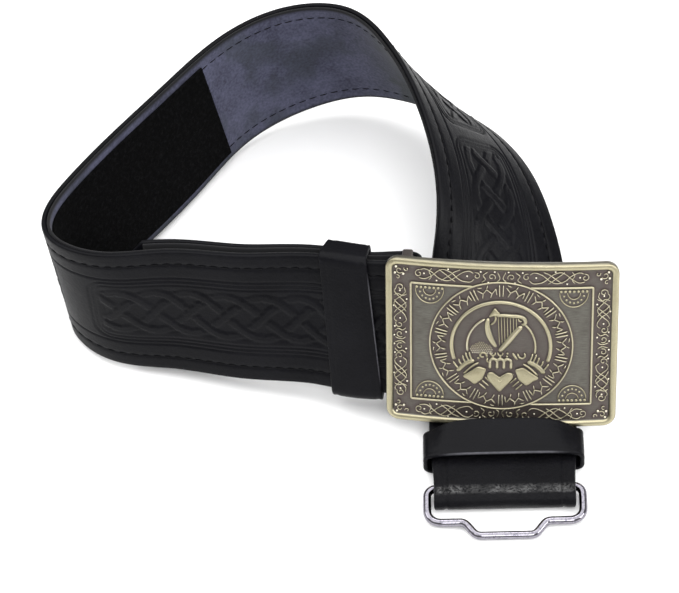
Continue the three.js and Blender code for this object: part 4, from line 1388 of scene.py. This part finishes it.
@dataclass
class Figures(Casting):
    """Harp, crown, heart and the two hands that hold it."""

    def make(self) -> None:
        """Adds the figures."""
        self.harp()
        self.crown()
        self.heart_and_hands()

    def harp(self) -> None:
        """Adds the harp: curved pillar with its head, neck with an end scroll, sound box and strings."""
        pillar = [[-4.9, 11.9], [-5.2, 9.9], [-5.1, 7.6], [-4.6, 5.2], [-3.7, 2.9], [-2.6, 0.9], [-1.7, -0.5]]
        # Tones above 1 on the pillar, neck and sound box are painted highlights.
        self.strand(smooth_line(pillar), 1.45, 0.95, swell=0.85, tone=1.1)
        self.figure([[-4.5, 12.6], [-3.7, 14.5], [-2.4, 16.3], [-1.4, 15.2], [-0.5, 14.2], [-1.2, 13.0],
                     [-2.8, 12.9]], 0.85, 0.3)
        self.strand(smooth_line([[-2.2, 13.2], [-2.1, 11.6], [-2.8, 10.1], [-4.1, 9.0]]), 0.95)
        neck = [[-1.9, 13.1], [0.9, 13.3], [3.8, 13.1], [6.2, 13.0], [8.3, 12.4], [9.2, 10.9], [8.6, 9.7],
                [7.7, 9.7]]
        self.strand(smooth_line(neck), 1.5, 0.95, swell=0.25, tone=1.1)
        self.strand(smooth_line([[6.4, 12.0], [6.9, 11.0], [7.9, 10.8]]), 0.7)
        box = [[-0.6, -2.2], [1.6, 0.7], [4.2, 4.3], [6.2, 7.0], [7.8, 8.8]]
        self.strand(smooth_line(box), 2.1, 0.95, swell=0.3, tone=1.15)
        for index in range(7):
            top = -1.1 + 1.13 * index
            foot = top + 0.55 - 0.06 * index
            low = -2.0 + (foot + 0.5) * 1.29
            route = np.stack([np.linspace(top, foot, 14), np.linspace(12.9, max(low, 0.4), 14)], axis=1)
            self.strand(route, 0.46, self.relief * 0.8)

    def crown(self) -> None:
        """Adds the crown: four stems joined by three arches, and the curls and beads above."""
        # Tone 1.15 on the stems and arches is a painted highlight.
        for stem in (-4.1, -1.4, 1.2, 3.9):
            route = np.stack([np.full(11, stem), np.linspace(-9.9, -6.2, 11)], axis=1)
            self.strand(route, 1.35, 0.9, tone=1.15)
        for middle in (-2.75, -0.1, 2.55):
            self.strand(arc((middle, -6.8), 1.33, 195, -15, 0.3), 1.4, 0.9, tone=1.15)
        self.strand(smooth_line([[-5.1, -5.2], [-5.2, -6.4], [-4.4, -7.3]]), 0.9)
        self.strand(curl((-6.9, -4.2), 1.7, -30, 0.95), 0.95)
        for middle in (-3.0, -0.2):
            self.strand(arc((middle, -3.0), 0.95, 165, 375, 0.3), 0.7)
        for right, rise in ((-3.0, -4.7), (-0.2, -4.7), (2.3, -4.3), (2.5, -3.0), (-8.6, -5.4)):
            self.bead(right, rise, 0.55, 0.7)
        self.strand(smooth_line([[4.5, -2.8], [5.3, -4.2], [6.3, -5.7]]), 1.1)
        self.strand(smooth_line([[6.4, -3.0], [6.9, -4.4], [8.2, -5.0], [9.2, -4.0], [8.9, -2.7]]), 0.85)

    def heart_and_hands(self) -> None:
        """Adds the heart, and the palms, fingers, cuffs and frilled sleeves on both sides of it."""
        heart = [[-0.4, -13.1], [-1.6, -12.3], [-3.2, -11.2], [-4.7, -11.5], [-5.2, -13.0], [-4.2, -15.2],
                 [-2.4, -17.5], [-0.4, -19.5], [1.7, -17.4], [3.7, -15.0], [4.7, -13.0], [4.3, -11.5],
                 [2.7, -11.2], [0.9, -12.3]]
        palm = [[-14.4, -13.4], [-11.7, -11.2], [-8.8, -9.1], [-7.0, -9.3], [-5.6, -10.0], [-6.1, -12.0],
                [-6.9, -14.2], [-8.4, -15.6], [-10.0, -16.7], [-12.2, -15.0]]
        cuff = smooth_line([[-14.2, -12.4], [-11.9, -9.9], [-9.8, -8.1], [-8.5, -7.4]])
        sleeve = smooth_line([[-16.6, -11.6], [-14.8, -9.4], [-12.8, -7.7], [-10.2, -6.4]])
        spikes = (
            ((-16.0, -10.5), (-17.2, -8.9), (-18.2, -7.4)), ((-14.7, -8.8), (-15.6, -7.6), (-16.1, -6.2)),
            ((-13.3, -7.8), (-14.1, -6.2), (-14.6, -4.6)), ((-12.0, -7.0), (-12.9, -5.1), (-13.5, -3.3)),
            ((-10.9, -6.6), (-11.6, -4.8), (-12.1, -3.0)))
        self.figure(heart, 0.95, 0.12)
        for side in (1, -1):
            self.figure(mirrored(palm, side), 0.9, 0.12)
            self.strand(mirrored(cuff, side), 0.95, 0.95)
            self.strand(mirrored(sleeve, side), 2.2, 0.85)
            for points in spikes:
                self.strand(mirrored(smooth_line(points, 0.3), side), 0.8, 0.75)
            for row in range(4):
                finger = np.array([[-8.3, -16.2], [-5.5, -18.8]]) + row * np.array([1.15, 1.35])
                self.strand(mirrored(smooth_line(finger), side), 0.72, 0.7)


@dataclass
class Plate(Casting):
    """Cast plate with its rim, rear bar on two posts, and hook."""

    corner_radius: float = 5.0
    rim_width: float = 2.9
    rim_height: float = 1.0
    slab_inset: float = 1.7
    post: float = 2.0
    hook_inset: float = 8.0
    hook_width: float = 14.0
    hook_thickness: float = 2.4
    hook_reach: float = 9.0
    hook_room: float = 5.0
    grid_step: float = 0.42
    rear_tone: float = -0.7

    def make(self) -> None:
        """Adds the plate, its rim and what is behind it."""
        self.slab()
        self.rim()
        self.rear()

    def patina(self, x: np.ndarray, y: np.ndarray) -> np.ndarray:
        """Tone of the ground: darker inside the round line and in the border, darkest beside raised work.

        The raised work's points are counted on the grid and spread by a bell curve along both directions.

        Args:
            x: Places to the right on the grid.
            y: Places up on the grid.

        Returns:
            Tones from 0 on open ground to -1 in the darkest recess.
        """
        marks = np.concatenate(self.marks)
        cells = tuple(
            np.clip(np.rint((marks[:, axis] - line[0]) / (line[1] - line[0])).astype(int), 0, len(line) - 1)
            for axis, line in enumerate((x[:, 0], y[0])))
        count = np.zeros(x.shape)
        np.add.at(count, cells, 1.0)
        bell = [(shift, math.exp(-(shift * self.grid_step) ** 2)) for shift in range(-5, 6)]
        for axis in (0, 1):
            count = sum(weight * np.roll(count, shift, axis) for shift, weight in bell)
        near = 1 - np.exp(-count / 3.0)
        inside = 1 - ease(np.hypot(x, y), 26.0, 28.0)
        border = np.maximum(ease(np.abs(x), 33.5, 35.0), ease(np.abs(y), 24.0, 25.5))
        return -np.clip(0.85 * near + 0.5 * inside + 0.45 * border, 0, 1)

    def slab(self) -> None:
        """Adds the plate's front, uneven by two crossed waves, and its back and walls inside the rim."""
        plan = self.plan
        half_x, half_y = plan.plate_width / 2 - self.slab_inset, plan.plate_height / 2 - self.slab_inset
        x, y = np.meshgrid(spread(-half_x, half_x, self.grid_step), spread(-half_y, half_y, self.grid_step),
                           indexing="ij")
        flat = np.stack([x, y], axis=-1)
        waves = 0.03 * np.sin(0.9 * x + 0.4 * y) * np.sin(0.7 * y - 0.3 * x)
        ends = np.stack([np.array([half_x, -half_x])[:, None] * np.ones((1, y.shape[1])),
                         y[:2] * np.ones((2, 1))], axis=-1)
        rear = mix(ends[:1], ends[1:], np.linspace(0, 1, 40)[:, None, None])
        rows = np.concatenate([self.on_plate(flat, waves), self.on_plate(rear, 0.05 - plan.plate_thickness)])
        tones = np.concatenate([self.patina(x, y), np.full(rear.shape[:2], -0.3)])
        across = np.concatenate([flat, rear])
        place = np.concatenate([across, np.zeros((*across.shape[:2], 1))], axis=-1)
        self.parts.add(rows, wrap_rows=True, place=place, tone=tones)

    def rim(self) -> None:
        """Adds the rim: a rounded bead carried round the plate's outline, with the plate's edge below it."""
        plan = self.plan
        radius = self.corner_radius
        half_x, half_y = plan.plate_width / 2 - radius, plan.plate_height / 2 - radius
        corners = np.array([[half_x, half_y], [-half_x, half_y], [-half_x, -half_y], [half_x, -half_y]])
        centres, normals = [], []
        for index, (here, following) in enumerate(zip(corners, np.roll(corners, -1, 0))):
            angle = np.radians(np.linspace(index * 90, index * 90 + 90, 15))
            turned = np.stack([np.cos(angle), np.sin(angle)], axis=1)
            share = spread(0, 1, 1.2 / np.linalg.norm(following - here))[1:-1, None]
            centres += [np.tile(here, (15, 1)), mix(here, following, share)]
            normals += [turned, np.tile(turned[-1], (len(share), 1))]
        centre, normal = np.concatenate(centres), np.concatenate(normals)
        deep, high, wide = plan.plate_thickness, self.rim_height, self.rim_width
        section = np.array([
            [-wide - 0.25, -0.15, -1.0], [-wide, 0.1, -0.3], [-wide + 0.35, high * 0.62, 0.75],
            [-wide + 0.75, high * 0.9, 0.95], [-wide * 0.5, high, 0.95], [-0.75, high * 0.93, 0.75],
            [-0.35, high * 0.7, 0.45], [-0.08, high * 0.3, 0.35], [0.0, -0.2, 0.3], [0.0, -deep + 0.5, 0.25],
            [-0.15, -deep + 0.15, 0.25], [-0.5, -deep, 0.2], [-wide, -deep, 0.0],
            [-wide - 0.25, -deep + 0.2, -0.3]])
        flat = centre[:, None] + normal[:, None] * (radius + section[:, 0])[None, :, None]
        level, tone = (np.broadcast_to(section[:, column], flat.shape[:2]) for column in (1, 2))
        self.parts.add(self.on_plate(flat, level), wrap_rows=True, wrap_columns=True, tone=tone)

    def tube(self, start: np.ndarray, end: np.ndarray, radius: float) -> None:
        """Adds a round bar between two points, closed at both ends.

        Args:
            start: Its first end.
            end: Its other end.
            radius: Its radius.
        """
        axis = unit(end - start)
        side = unit(np.cross(axis, UP))
        angle = np.radians(np.arange(20) * 18.0)
        ring = radius * (np.cos(angle)[:, None] * side + np.sin(angle)[:, None] * np.cross(axis, side))
        rows = np.linspace(0, 1, 12)[:, None, None]
        self.parts.add(start + (end - start) * rows + ring[None], wrap_columns=True, caps=True,
                       tone=self.rear_tone)

    def block(self, middle: tuple[float, float, float], size: tuple[float, float, float]) -> None:
        """Adds a bar with rounded edges along the plate's axes.

        The section is the curve whose coordinates to the sixth power add up to one, and it shrinks a
        little at both ends.

        Args:
            middle: Its middle, right, up and out from the plate's middle.
            size: Its sizes in the same directions.
        """
        plan = self.plan
        centre = plan.plate_centre + plan.shift + (
            plan.right * middle[0] + plan.rise * middle[1] + plan.out * middle[2])
        angle = np.radians(np.arange(24) * 15.0 + 7.5)
        power = (np.abs(np.cos(angle)) ** 6 + np.abs(np.sin(angle)) ** 6) ** (-1 / 6)
        right, up = size[0] / 2 * power * np.cos(angle), size[1] / 2 * power * np.sin(angle)
        depth = np.array([-0.5, -0.49, -0.45, 0.45, 0.49, 0.5]) * size[2]
        shrink = np.array([0.8, 0.93, 1.0, 1.0, 0.93, 0.8])[:, None, None]
        ring = right[:, None] * plan.right + up[:, None] * plan.rise
        self.parts.add(centre + shrink * ring[None] + depth[:, None, None] * plan.out, wrap_columns=True,
                       caps=True, tone=self.rear_tone)

    def rear(self) -> None:
        """Adds the rear bar, its posts and the hook."""
        plan = self.plan
        rise = (plan.strap_width + self.post) / 2 + plan.post_clearance
        root = plan.bow(plan.bar_across) + plan.plate_thickness / 2
        deep = plan.bar_depth + plan.bar_diameter / 2 - root
        for side in (-1, 1):
            self.block((plan.bar_across, side * rise, -root - deep / 2), (plan.bar_diameter, self.post, deep))
        axis = plan.bar_axis + plan.shift
        self.tube(axis - plan.rise * rise, axis + plan.rise * rise, plan.bar_diameter / 2)
        right = plan.plate_width / 2 - self.hook_inset
        root = plan.bow(right) + plan.plate_thickness / 2
        deep = plan.plate_thickness / 2 + self.hook_room + self.hook_thickness
        self.block((right, 0, -root - deep / 2), (self.hook_thickness, self.hook_width, deep))
        self.block((right - self.hook_reach / 2, 0, -root - deep + self.hook_thickness / 2),
                   (self.hook_reach + self.hook_thickness, self.hook_width, self.hook_thickness))


@dataclass
class Buckle:
    """Buckle: cast plate with its rim, raised work and the parts behind it."""

    plan: Plan

    def build(self, finish: bpy.types.Material) -> None:
        """Builds the buckle's pieces, the plate last, because its patina follows the raised work.

        Args:
            finish: Finish of the casting.
        """
        marks: list[np.ndarray] = []
        for name, kind, node in (("buckle_lines", Lines, None), ("buckle_knotwork", Knotwork, None),
                                 ("buckle_figures", Figures, None), ("buckle_plate", Plate, "buckle")):
            casting = kind(self.plan, marks)
            casting.make()
            casting.parts.build(name, finish, Slot.BRASS, Body.BELT, node)


# Shader maths.


class Value:
    """Number on a node's socket, which Python's operators combine with others by Math nodes."""

    def __init__(self, shader: "Shader", socket: bpy.types.NodeSocket) -> None:
        """Wraps a socket of a shader."""
        self.shader = shader
        self.socket = socket

    def _math(self, operation: str, *terms: "Value | float") -> "Value":
        """Result of a Math node on the terms."""
        node = self.shader.node("ShaderNodeMath", {"operation": operation}, dict(enumerate(terms)))
        return Value(self.shader, node.outputs[0])

    def __add__(self, other: "Value | float") -> "Value":
        """Sum."""
        return self._math("ADD", self, other)

    __radd__ = __add__

    def __sub__(self, other: "Value | float") -> "Value":
        """Difference."""
        return self._math("SUBTRACT", self, other)

    def __rsub__(self, other: float) -> "Value":
        """Difference from a number."""
        return self._math("SUBTRACT", other, self)

    def __mul__(self, other: "Value | float") -> "Value":
        """Product."""
        return self._math("MULTIPLY", self, other)

    __rmul__ = __mul__

    def clamped(self) -> "Value":
        """The number held between 0 and 1."""
        return self._math("MINIMUM", self._math("MAXIMUM", self, 0.0), 1.0)

    def step(self, start: float, end: float) -> "Value":
        """Smooth step of the number.

        Args:
            start: Where it starts.
            end: Where it ends.

        Returns:
            The step, from 0 to 1.
        """
        settings = {"interpolation_type": "SMOOTHSTEP", "clamp": True}
        inputs = {"Value": self, "From Min": start, "From Max": end}
        return Value(self.shader, self.shader.node("ShaderNodeMapRange", settings, inputs).outputs[0])


class Shader:
    """Material under construction, with a Principled shader and one method that makes every other node."""

    def __init__(self, name: str) -> None:
        """Starts a material.

        Args:
            name: Name of the material.
        """
        self.material = bpy.data.materials.new(name)
        self.material.use_nodes = True
        self.tree = self.material.node_tree
        self.surface = self.tree.nodes["Principled BSDF"]
        self.object_place = self.node("ShaderNodeTexCoord").outputs["Object"]

    def node(self, kind: str, settings: dict | None = None, inputs: dict | None = None) -> bpy.types.Node:
        """Adds a node.

        Args:
            kind: Its type.
            settings: Attributes that are set first.
            inputs: Values or links of its sockets, by name or number.

        Returns:
            The node.
        """
        node = self.tree.nodes.new(kind)
        for name, value in (settings or {}).items():
            setattr(node, name, value)
        for key, value in (inputs or {}).items():
            self.put(node.inputs[key], value)
        return node

    def put(self, socket: bpy.types.NodeSocket, value: object) -> None:
        """Links or sets a socket.

        Args:
            socket: The socket.
            value: Value or socket to link, or number or colour to set.
        """
        if isinstance(value, Value):
            self.tree.links.new(value.socket, socket)
        elif isinstance(value, bpy.types.NodeSocket):
            self.tree.links.new(value, socket)
        elif isinstance(value, tuple) and len(value) == 3 and socket.type == "RGBA":
            socket.default_value = (*value, 1.0)
        else:
            socket.default_value = value

    def set(self, **inputs: object) -> None:
        """Puts values on the Principled shader's sockets, named in small letters with _ for a space."""
        for name, value in inputs.items():
            self.put(self.surface.inputs[name.replace("_", " ").title().replace("Ior", "IOR")], value)

    def tone(self) -> Value:
        """The mesh attribute of that name."""
        return Value(self, self.node("ShaderNodeAttribute", {"attribute_name": "tone"}).outputs["Fac"])

    def place(self) -> bpy.types.NodeSocket:
        """The mesh attribute of that name, surface coordinates in mm."""
        return self.node("ShaderNodeAttribute", {"attribute_name": "place"}).outputs["Vector"]

    def run(self, place: bpy.types.NodeSocket) -> Value:
        """First coordinate of a place: the distance along the strap."""
        return Value(self, self.node("ShaderNodeSeparateXYZ", {}, {0: place}).outputs[0])

    def noise(self, scale: float, detail: float = 3.0, place: bpy.types.NodeSocket | None = None,
              roughness: float = 0.5, distortion: float = 0.0) -> Value:
        """Noise about 0.5.

        Args:
            scale: Waves per unit of the place.
            detail: Finer noises added.
            place: Where, or the object's axes.
            roughness: Strength of the finer noises.
            distortion: How far the pattern is bent.

        Returns:
            The noise.
        """
        node = self.node("ShaderNodeTexNoise", {}, {
            "Vector": place or self.object_place, "Scale": scale, "Detail": detail, "Roughness": roughness,
            "Distortion": distortion})
        return Value(self, node.outputs[0])

    def cells(self, scale: float) -> Value:
        """Distance pattern of scattered cells."""
        node = self.node("ShaderNodeTexVoronoi", {}, {"Vector": self.object_place, "Scale": scale})
        return Value(self, node.outputs["Distance"])

    def stretched(self, place: bpy.types.NodeSocket,
                  scale: tuple[float, float, float]) -> bpy.types.NodeSocket:
        """A place with its three coordinates times the scale."""
        return self.node("ShaderNodeMapping", {}, {"Vector": place, "Scale": scale}).outputs[0]

    def blend(self, first: object, second: object, share: Value | float) -> bpy.types.NodeSocket:
        """Colour between two, by a share."""
        return self.node("ShaderNodeMix", {"data_type": "RGBA"}, {0: share, 6: first, 7: second}).outputs[2]

    def bump(self, height: Value, distance: float, strength: float,
             normal: bpy.types.NodeSocket | None = None) -> bpy.types.NodeSocket:
        """Normal bent by a height.

        Args:
            height: The height.
            distance: What its full range stands for, in metres.
            strength: Share of it.
            normal: Normal to bend, or the surface's own.

        Returns:
            The normal.
        """
        inputs = {"Height": height, "Distance": distance, "Strength": strength}
        if normal is not None:
            inputs["Normal"] = normal
        return self.node("ShaderNodeBump", {}, inputs).outputs[0]


# Finishes.


@dataclass(frozen=True)
class LeatherFinish:
    """Black leather with pebbled grain and creases, duller or glossier by its wax."""

    name: str
    base: Colour = (0.0014, 0.0014, 0.0023)
    worn: Colour = (0.0036, 0.0036, 0.0054)
    # Paler colour painted on as a highlight, on one side of the strap's relief and along keeper edges.
    painted_highlight: Colour = (0.12, 0.12, 0.135)
    roughness: float = 0.46
    grain: float = 0.00012
    creases: float = 0.0002
    wrinkled_end: bool = False

    def make(self) -> bpy.types.Material:
        """Builds the material; the tone attribute tells where a paler painted highlight goes.

        Returns:
            The material.
        """
        shader = Shader(self.name)
        cloud = shader.noise(45.0, 4.0)
        fine = shader.noise(700.0, 3.0)
        pebble = shader.cells(1100.0)
        crease = shader.noise(95.0, 6.0, roughness=0.65, distortion=1.2) - 0.5
        tint = (cloud * 0.6 + fine * 0.5 - 0.15).step(0.2, 0.8)
        rough = self.roughness + (cloud - 0.5) * 0.25 + (fine - 0.5) * 0.18
        folds, coat = crease, cloud * 0.06
        if self.wrinkled_end:
            place = shader.place()
            run = shader.run(place)
            end = run.step(-30.0, -28.0) * (1.0 - run.step(14.0, 30.0))
            band = run.step(-6.6, -4.2) * (1.0 - run.step(-3.0, -0.4))
            wrinkle = shader.noise(1.0, 4.0, shader.stretched(place, (0.7, 0.5, 0.3)), 0.7, 1.5) - 0.5
            folds = crease + wrinkle * (end * 3.5 + band * 4.0)
            low = run.step(-30.0, -28.0) * (1.0 - run.step(-14.0, -10.0))
            patches = shader.noise(1.0, 2.0, shader.stretched(place, (0.1, 0.17, 0.1))).step(0.35, 0.62)
            coat = coat + band * (wrinkle * 7.0 + 0.6).clamped() * (patches + 0.35) + low * 0.25
        # Painted highlight where the tone attribute asks for it, broken up by noise.
        painted_highlight = (shader.tone() * (fine * 0.8 + cloud * 0.8)).clamped()
        colour = shader.blend(shader.blend(self.base, self.worn, tint), self.painted_highlight, painted_highlight)
        grain = shader.bump(pebble * 0.7 + fine * 0.6, self.grain, 0.7)
        shader.set(base_color=colour, roughness=rough.clamped(), specular_ior_level=0.09,
                   coat_weight=coat.clamped(), coat_roughness=0.3,
                   normal=shader.bump(folds, self.creases, 0.6, grain))
        return shader.material


@dataclass(frozen=True)
class LiningFinish:
    """Slate grey suede lining, clouded, softly napped and soiled in patches, with painted shade along it up
    to the turn at the right.
    """

    name: str = "slate suede lining"
    base: Colour = (0.028, 0.029, 0.05)
    light: Colour = (0.075, 0.078, 0.125)
    # Colour of the soiled patches and of the painted shade.
    soil_and_shade: Colour = (0.024, 0.029, 0.036)
    # Colour of the dyed edges, also painted as shade along the tail's edges.
    dye_and_shade: Colour = (0.006, 0.006, 0.007)

    def make(self) -> bpy.types.Material:
        """Builds the material; the tone attribute tells where the edge is dyed, and where along the tail a
        wider margin is painted dark as shade.

        Returns:
            The material.
        """
        shader = Shader(self.name)
        cloud = shader.noise(60.0, 5.0, roughness=0.62)
        nap = shader.noise(900.0, 2.0)
        tint = ((cloud - 0.5) * 2.0 + (nap - 0.5) * 1.6 + 0.55).clamped()
        soiled = (shader.noise(34.0, 4.0, roughness=0.6) - 0.48).step(0.0, 0.14) * 0.55
        # Painted shade along the lining up to the turn at the right, fading out between 196 and 228 mm of
        # run, plus random soiled patches.
        dark = ((1.0 - shader.run(shader.place()).step(196.0, 228.0)) * 0.85 + soiled).clamped()
        cloth = shader.blend(shader.blend(self.base, self.light, tint), self.soil_and_shade, dark)
        shader.set(base_color=shader.blend(cloth, self.dye_and_shade, shader.tone()), roughness=0.88,
                   specular_ior_level=0.2, sheen_weight=0.1, sheen_roughness=0.5,
                   normal=shader.bump(nap + cloud * 0.4, 0.00025, 0.7))
        return shader.material


@dataclass(frozen=True)
class PileFinish:
    """Black loop pile of the touch patches."""

    name: str = "black loop pile"
    base: Colour = (0.0015, 0.0015, 0.0016)
    light: Colour = (0.006, 0.006, 0.0065)

    def make(self) -> bpy.types.Material:
        """Builds the material.

        Returns:
            The material.
        """
        shader = Shader(self.name)
        loops = shader.noise(650.0, 4.0, roughness=0.7)
        shader.set(base_color=shader.blend(self.base, self.light, loops.step(0.45, 0.75)), roughness=0.95,
                   specular_ior_level=0.04, normal=shader.bump(loops, 0.0006, 0.9))
        return shader.material


@dataclass(frozen=True)
class ThreadFinish:
    """Waxed black thread."""

    name: str = "black thread"
    base: Colour = (0.0015, 0.0015, 0.002)
    light: Colour = (0.004, 0.004, 0.005)

    def make(self) -> bpy.types.Material:
        """Builds the material.

        Returns:
            The material.
        """
        shader = Shader(self.name)
        twist = shader.noise(2400.0, 1.0)
        shader.set(base_color=shader.blend(self.base, self.light, twist), roughness=0.7,
                   specular_ior_level=0.1, normal=shader.bump(twist, 0.0001, 0.6))
        return shader.material


@dataclass(frozen=True)
class BrassFinish:
    """Antique plated casting: brushed ground, dark patina in the recesses, crests polished to pale brass, and
    a paler painted highlight on chosen crests.
    """

    name: str = "antique brass"
    recess: Colour = (0.1, 0.082, 0.076)
    ground: Colour = (0.082, 0.074, 0.064)
    ground_light: Colour = (0.165, 0.162, 0.14)
    polished: Colour = (0.4, 0.365, 0.245)
    highlight_tint: Colour = (0.8, 0.75, 0.62)
    tarnish: Colour = (0.25, 0.22, 0.13)

    def make(self) -> bpy.types.Material:
        """Builds the material.

        The tone attribute is -1 in recesses, 0 on open ground and 1 on polished crests; above 1, up to 1.5,
        it blends toward a painted highlight.

        Returns:
            The material.
        """
        shader = Shader(self.name)
        tone = shader.tone()
        cloud = shader.noise(160.0, 5.0, roughness=0.6)
        speck = shader.noise(2200.0, 3.0, roughness=0.7)
        brushed = shader.noise(1.0, 3.0, shader.stretched(shader.place(), (0.3, 5.0, 1.0)))
        bright = (tone + (cloud - 0.5) * 0.3 + (speck - 0.5) * 0.3).step(0.1, 0.75)
        dark = (0.0 - tone * 1.1 + (cloud - 0.5) * 0.5 + (speck - 0.5) * 0.5).clamped()
        brushing = ((brushed - 0.5) * 1.6 + (cloud - 0.5) + 0.5).clamped()
        ground = shader.blend(shader.blend(self.ground, self.ground_light, brushing), self.recess, dark)
        stains = speck.step(0.5, 0.75) * 0.5 + cloud.step(0.5, 0.8) * 0.4
        metal = shader.blend(self.polished, self.tarnish, stains)
        # Painted highlight: tones above 1 pale the crest colour.
        metal = shader.blend(metal, self.highlight_tint, ((tone - 1.0) * 2.0).clamped())
        shader.set(base_color=shader.blend(ground, metal, bright),
                   metallic=(0.85 + bright * 0.15).clamped(),
                   roughness=(0.42 - bright * 0.06 + dark * 0.1 + (speck - 0.5) * 0.25).clamped(),
                   normal=shader.bump(speck + cloud * 0.6, 0.00009, 0.7))
        return shader.material


@dataclass(frozen=True)
class ChromeFinish:
    """Polished chromed wire with faint scuffs."""

    name: str = "chromed wire"
    base: Colour = (0.24, 0.23, 0.26)
    dull: Colour = (0.12, 0.115, 0.14)

    def make(self) -> bpy.types.Material:
        """Builds the material.

        Returns:
            The material.
        """
        shader = Shader(self.name)
        scuff = shader.noise(900.0, 4.0, roughness=0.7)
        shader.set(base_color=shader.blend(self.base, self.dull, scuff.step(0.45, 0.7)), metallic=1.0,
                   roughness=(0.05 + (scuff - 0.4) * 0.2).clamped(), normal=shader.bump(scuff, 0.00003, 0.5))
        return shader.material


@dataclass(frozen=True)
class FloorFinish:
    """Plain pale floor."""

    name: str = "pale floor"
    base: Colour = (0.97, 0.97, 0.97)

    def make(self) -> bpy.types.Material:
        """Builds the material.

        Returns:
            The material.
        """
        shader = Shader(self.name)
        shader.set(base_color=self.base, roughness=0.9, specular_ior_level=0.1)
        return shader.material


# Stage.


@dataclass(frozen=True)
class Light:
    """Square soft light that faces the belt: its place and side in metres, its power in watts."""

    name: str
    place: tuple[float, float, float]
    size: float
    power: float

    def build(self) -> None:
        """Adds the light, turned so that its axis passes through the origin."""
        data = bpy.data.lights.new(self.name, "AREA")
        data.shape = "SQUARE"
        data.size = self.size
        data.energy = self.power
        lamp = bpy.data.objects.new(self.name, data)
        lamp.location = self.place
        x, y, z = self.place
        lamp.rotation_euler = (math.acos(z / np.linalg.norm(self.place)), 0, math.atan2(x, -y))
        bpy.context.scene.collection.objects.link(lamp)


@dataclass
class Studio:
    """Pale floor, soft lights, and the camera at the photograph's angle."""

    elevation: float = 50.0
    roll: float = -4.5
    distance: float = 1.215
    lens: float = 159.0
    aim: tuple[float, float, float] = (0.0042, 0.0109, 0.0001)
    floor_reach: float = 4.0
    floor_drop: float = 0.0002
    world_strength: float = 0.42
    lights: tuple[Light, ...] = (
        Light("overhead", (-0.05, 0.0, 1.3), 2.0, 29.0), Light("front", (0.15, -1.05, 0.95), 0.5, 5.0),
        Light("left", (-1.0, 0.1, 0.9), 0.7, 4.0), Light("right", (1.0, -0.5, 0.6), 0.6, 8.0),
        Light("back", (0.1, 0.75, 1.2), 0.3, 1.5))

    def floor(self) -> None:
        """Adds the floor, just below the belt."""
        mesh = bpy.data.meshes.new("floor")
        reach = self.floor_reach
        mesh.from_pydata([(-reach, -reach, 0), (reach, -reach, 0), (reach, reach, 0), (-reach, reach, 0)], [],
                         [(0, 1, 2, 3)])
        mesh.materials.append(FloorFinish().make())
        floor = bpy.data.objects.new("floor", mesh)
        floor.location = (0, 0, -self.floor_drop)
        bpy.context.scene.collection.objects.link(floor)

    def world(self) -> None:
        """Adds the white world that lights the belt from all sides."""
        world = bpy.data.worlds.new("studio")
        world.use_nodes = True
        background = world.node_tree.nodes["Background"]
        background.inputs[0].default_value = (1, 1, 1, 1)
        background.inputs[1].default_value = self.world_strength
        bpy.context.scene.world = world
        bpy.context.scene.view_settings.view_transform = "Standard"

    def camera(self) -> None:
        """Adds the camera: behind the aim by the distance, tilted down by the elevation, then rolled."""
        tilt = math.radians(self.elevation)
        data = bpy.data.cameras.new("camera")
        data.lens = self.lens
        data.sensor_width = 36.0
        data.clip_start, data.clip_end = 0.05, 20.0
        camera = bpy.data.objects.new("camera", data)
        aim = np.array(self.aim)
        camera.location = aim + self.distance * np.array([0.0, -math.cos(tilt), math.sin(tilt)])
        roll = Matrix.Rotation(math.radians(self.roll), 3, "Z")
        camera.rotation_euler = (Euler((math.pi / 2 - tilt, 0, 0)).to_matrix() @ roll).to_euler()
        bpy.context.scene.collection.objects.link(camera)
        bpy.context.scene.camera = camera

    def build(self) -> None:
        """Builds floor, lights, world and camera."""
        self.floor()
        for light in self.lights:
            light.build()
        self.world()
        self.camera()


def main() -> None:
    """Builds the stage, then every sub-assembly in order."""
    logging.basicConfig(level=logging.INFO, format="%(name)s: %(message)s")
    plan = Plan()
    LOG.info("strap middle line: %.1f mm", plan.length)
    Studio().build()
    leather = LeatherFinish("embossed black leather", wrinkled_end=True).make()
    plain = LeatherFinish("plain black leather", roughness=0.45, creases=0.0001).make()
    Strap(plan).build(leather, LiningFinish().make(), ThreadFinish().make())
    TouchPatches(plan).build(PileFinish().make())
    lying_start, lying_width, from_bar = 10.2, 12.6, 21.5
    Keeper(plan, "keeper_lying", "keeper_end", distance=lying_start + lying_width / 2, width=lying_width,
           slack=0.6, headroom=1.6, lying=True, highlight_side=-1, arch=(1.2, 7.2)).build(plain)
    Keeper(plan, "keeper_beside_buckle", "keeper_near", distance=plan.length - from_bar, width=18.5,
           slack=0.8, headroom=0.8, skew=5.5).build(plain)
    Bail(plan).build(ChromeFinish().make())
    Buckle(plan).build(BrassFinish().make())


if __name__ == "__main__":
    main()
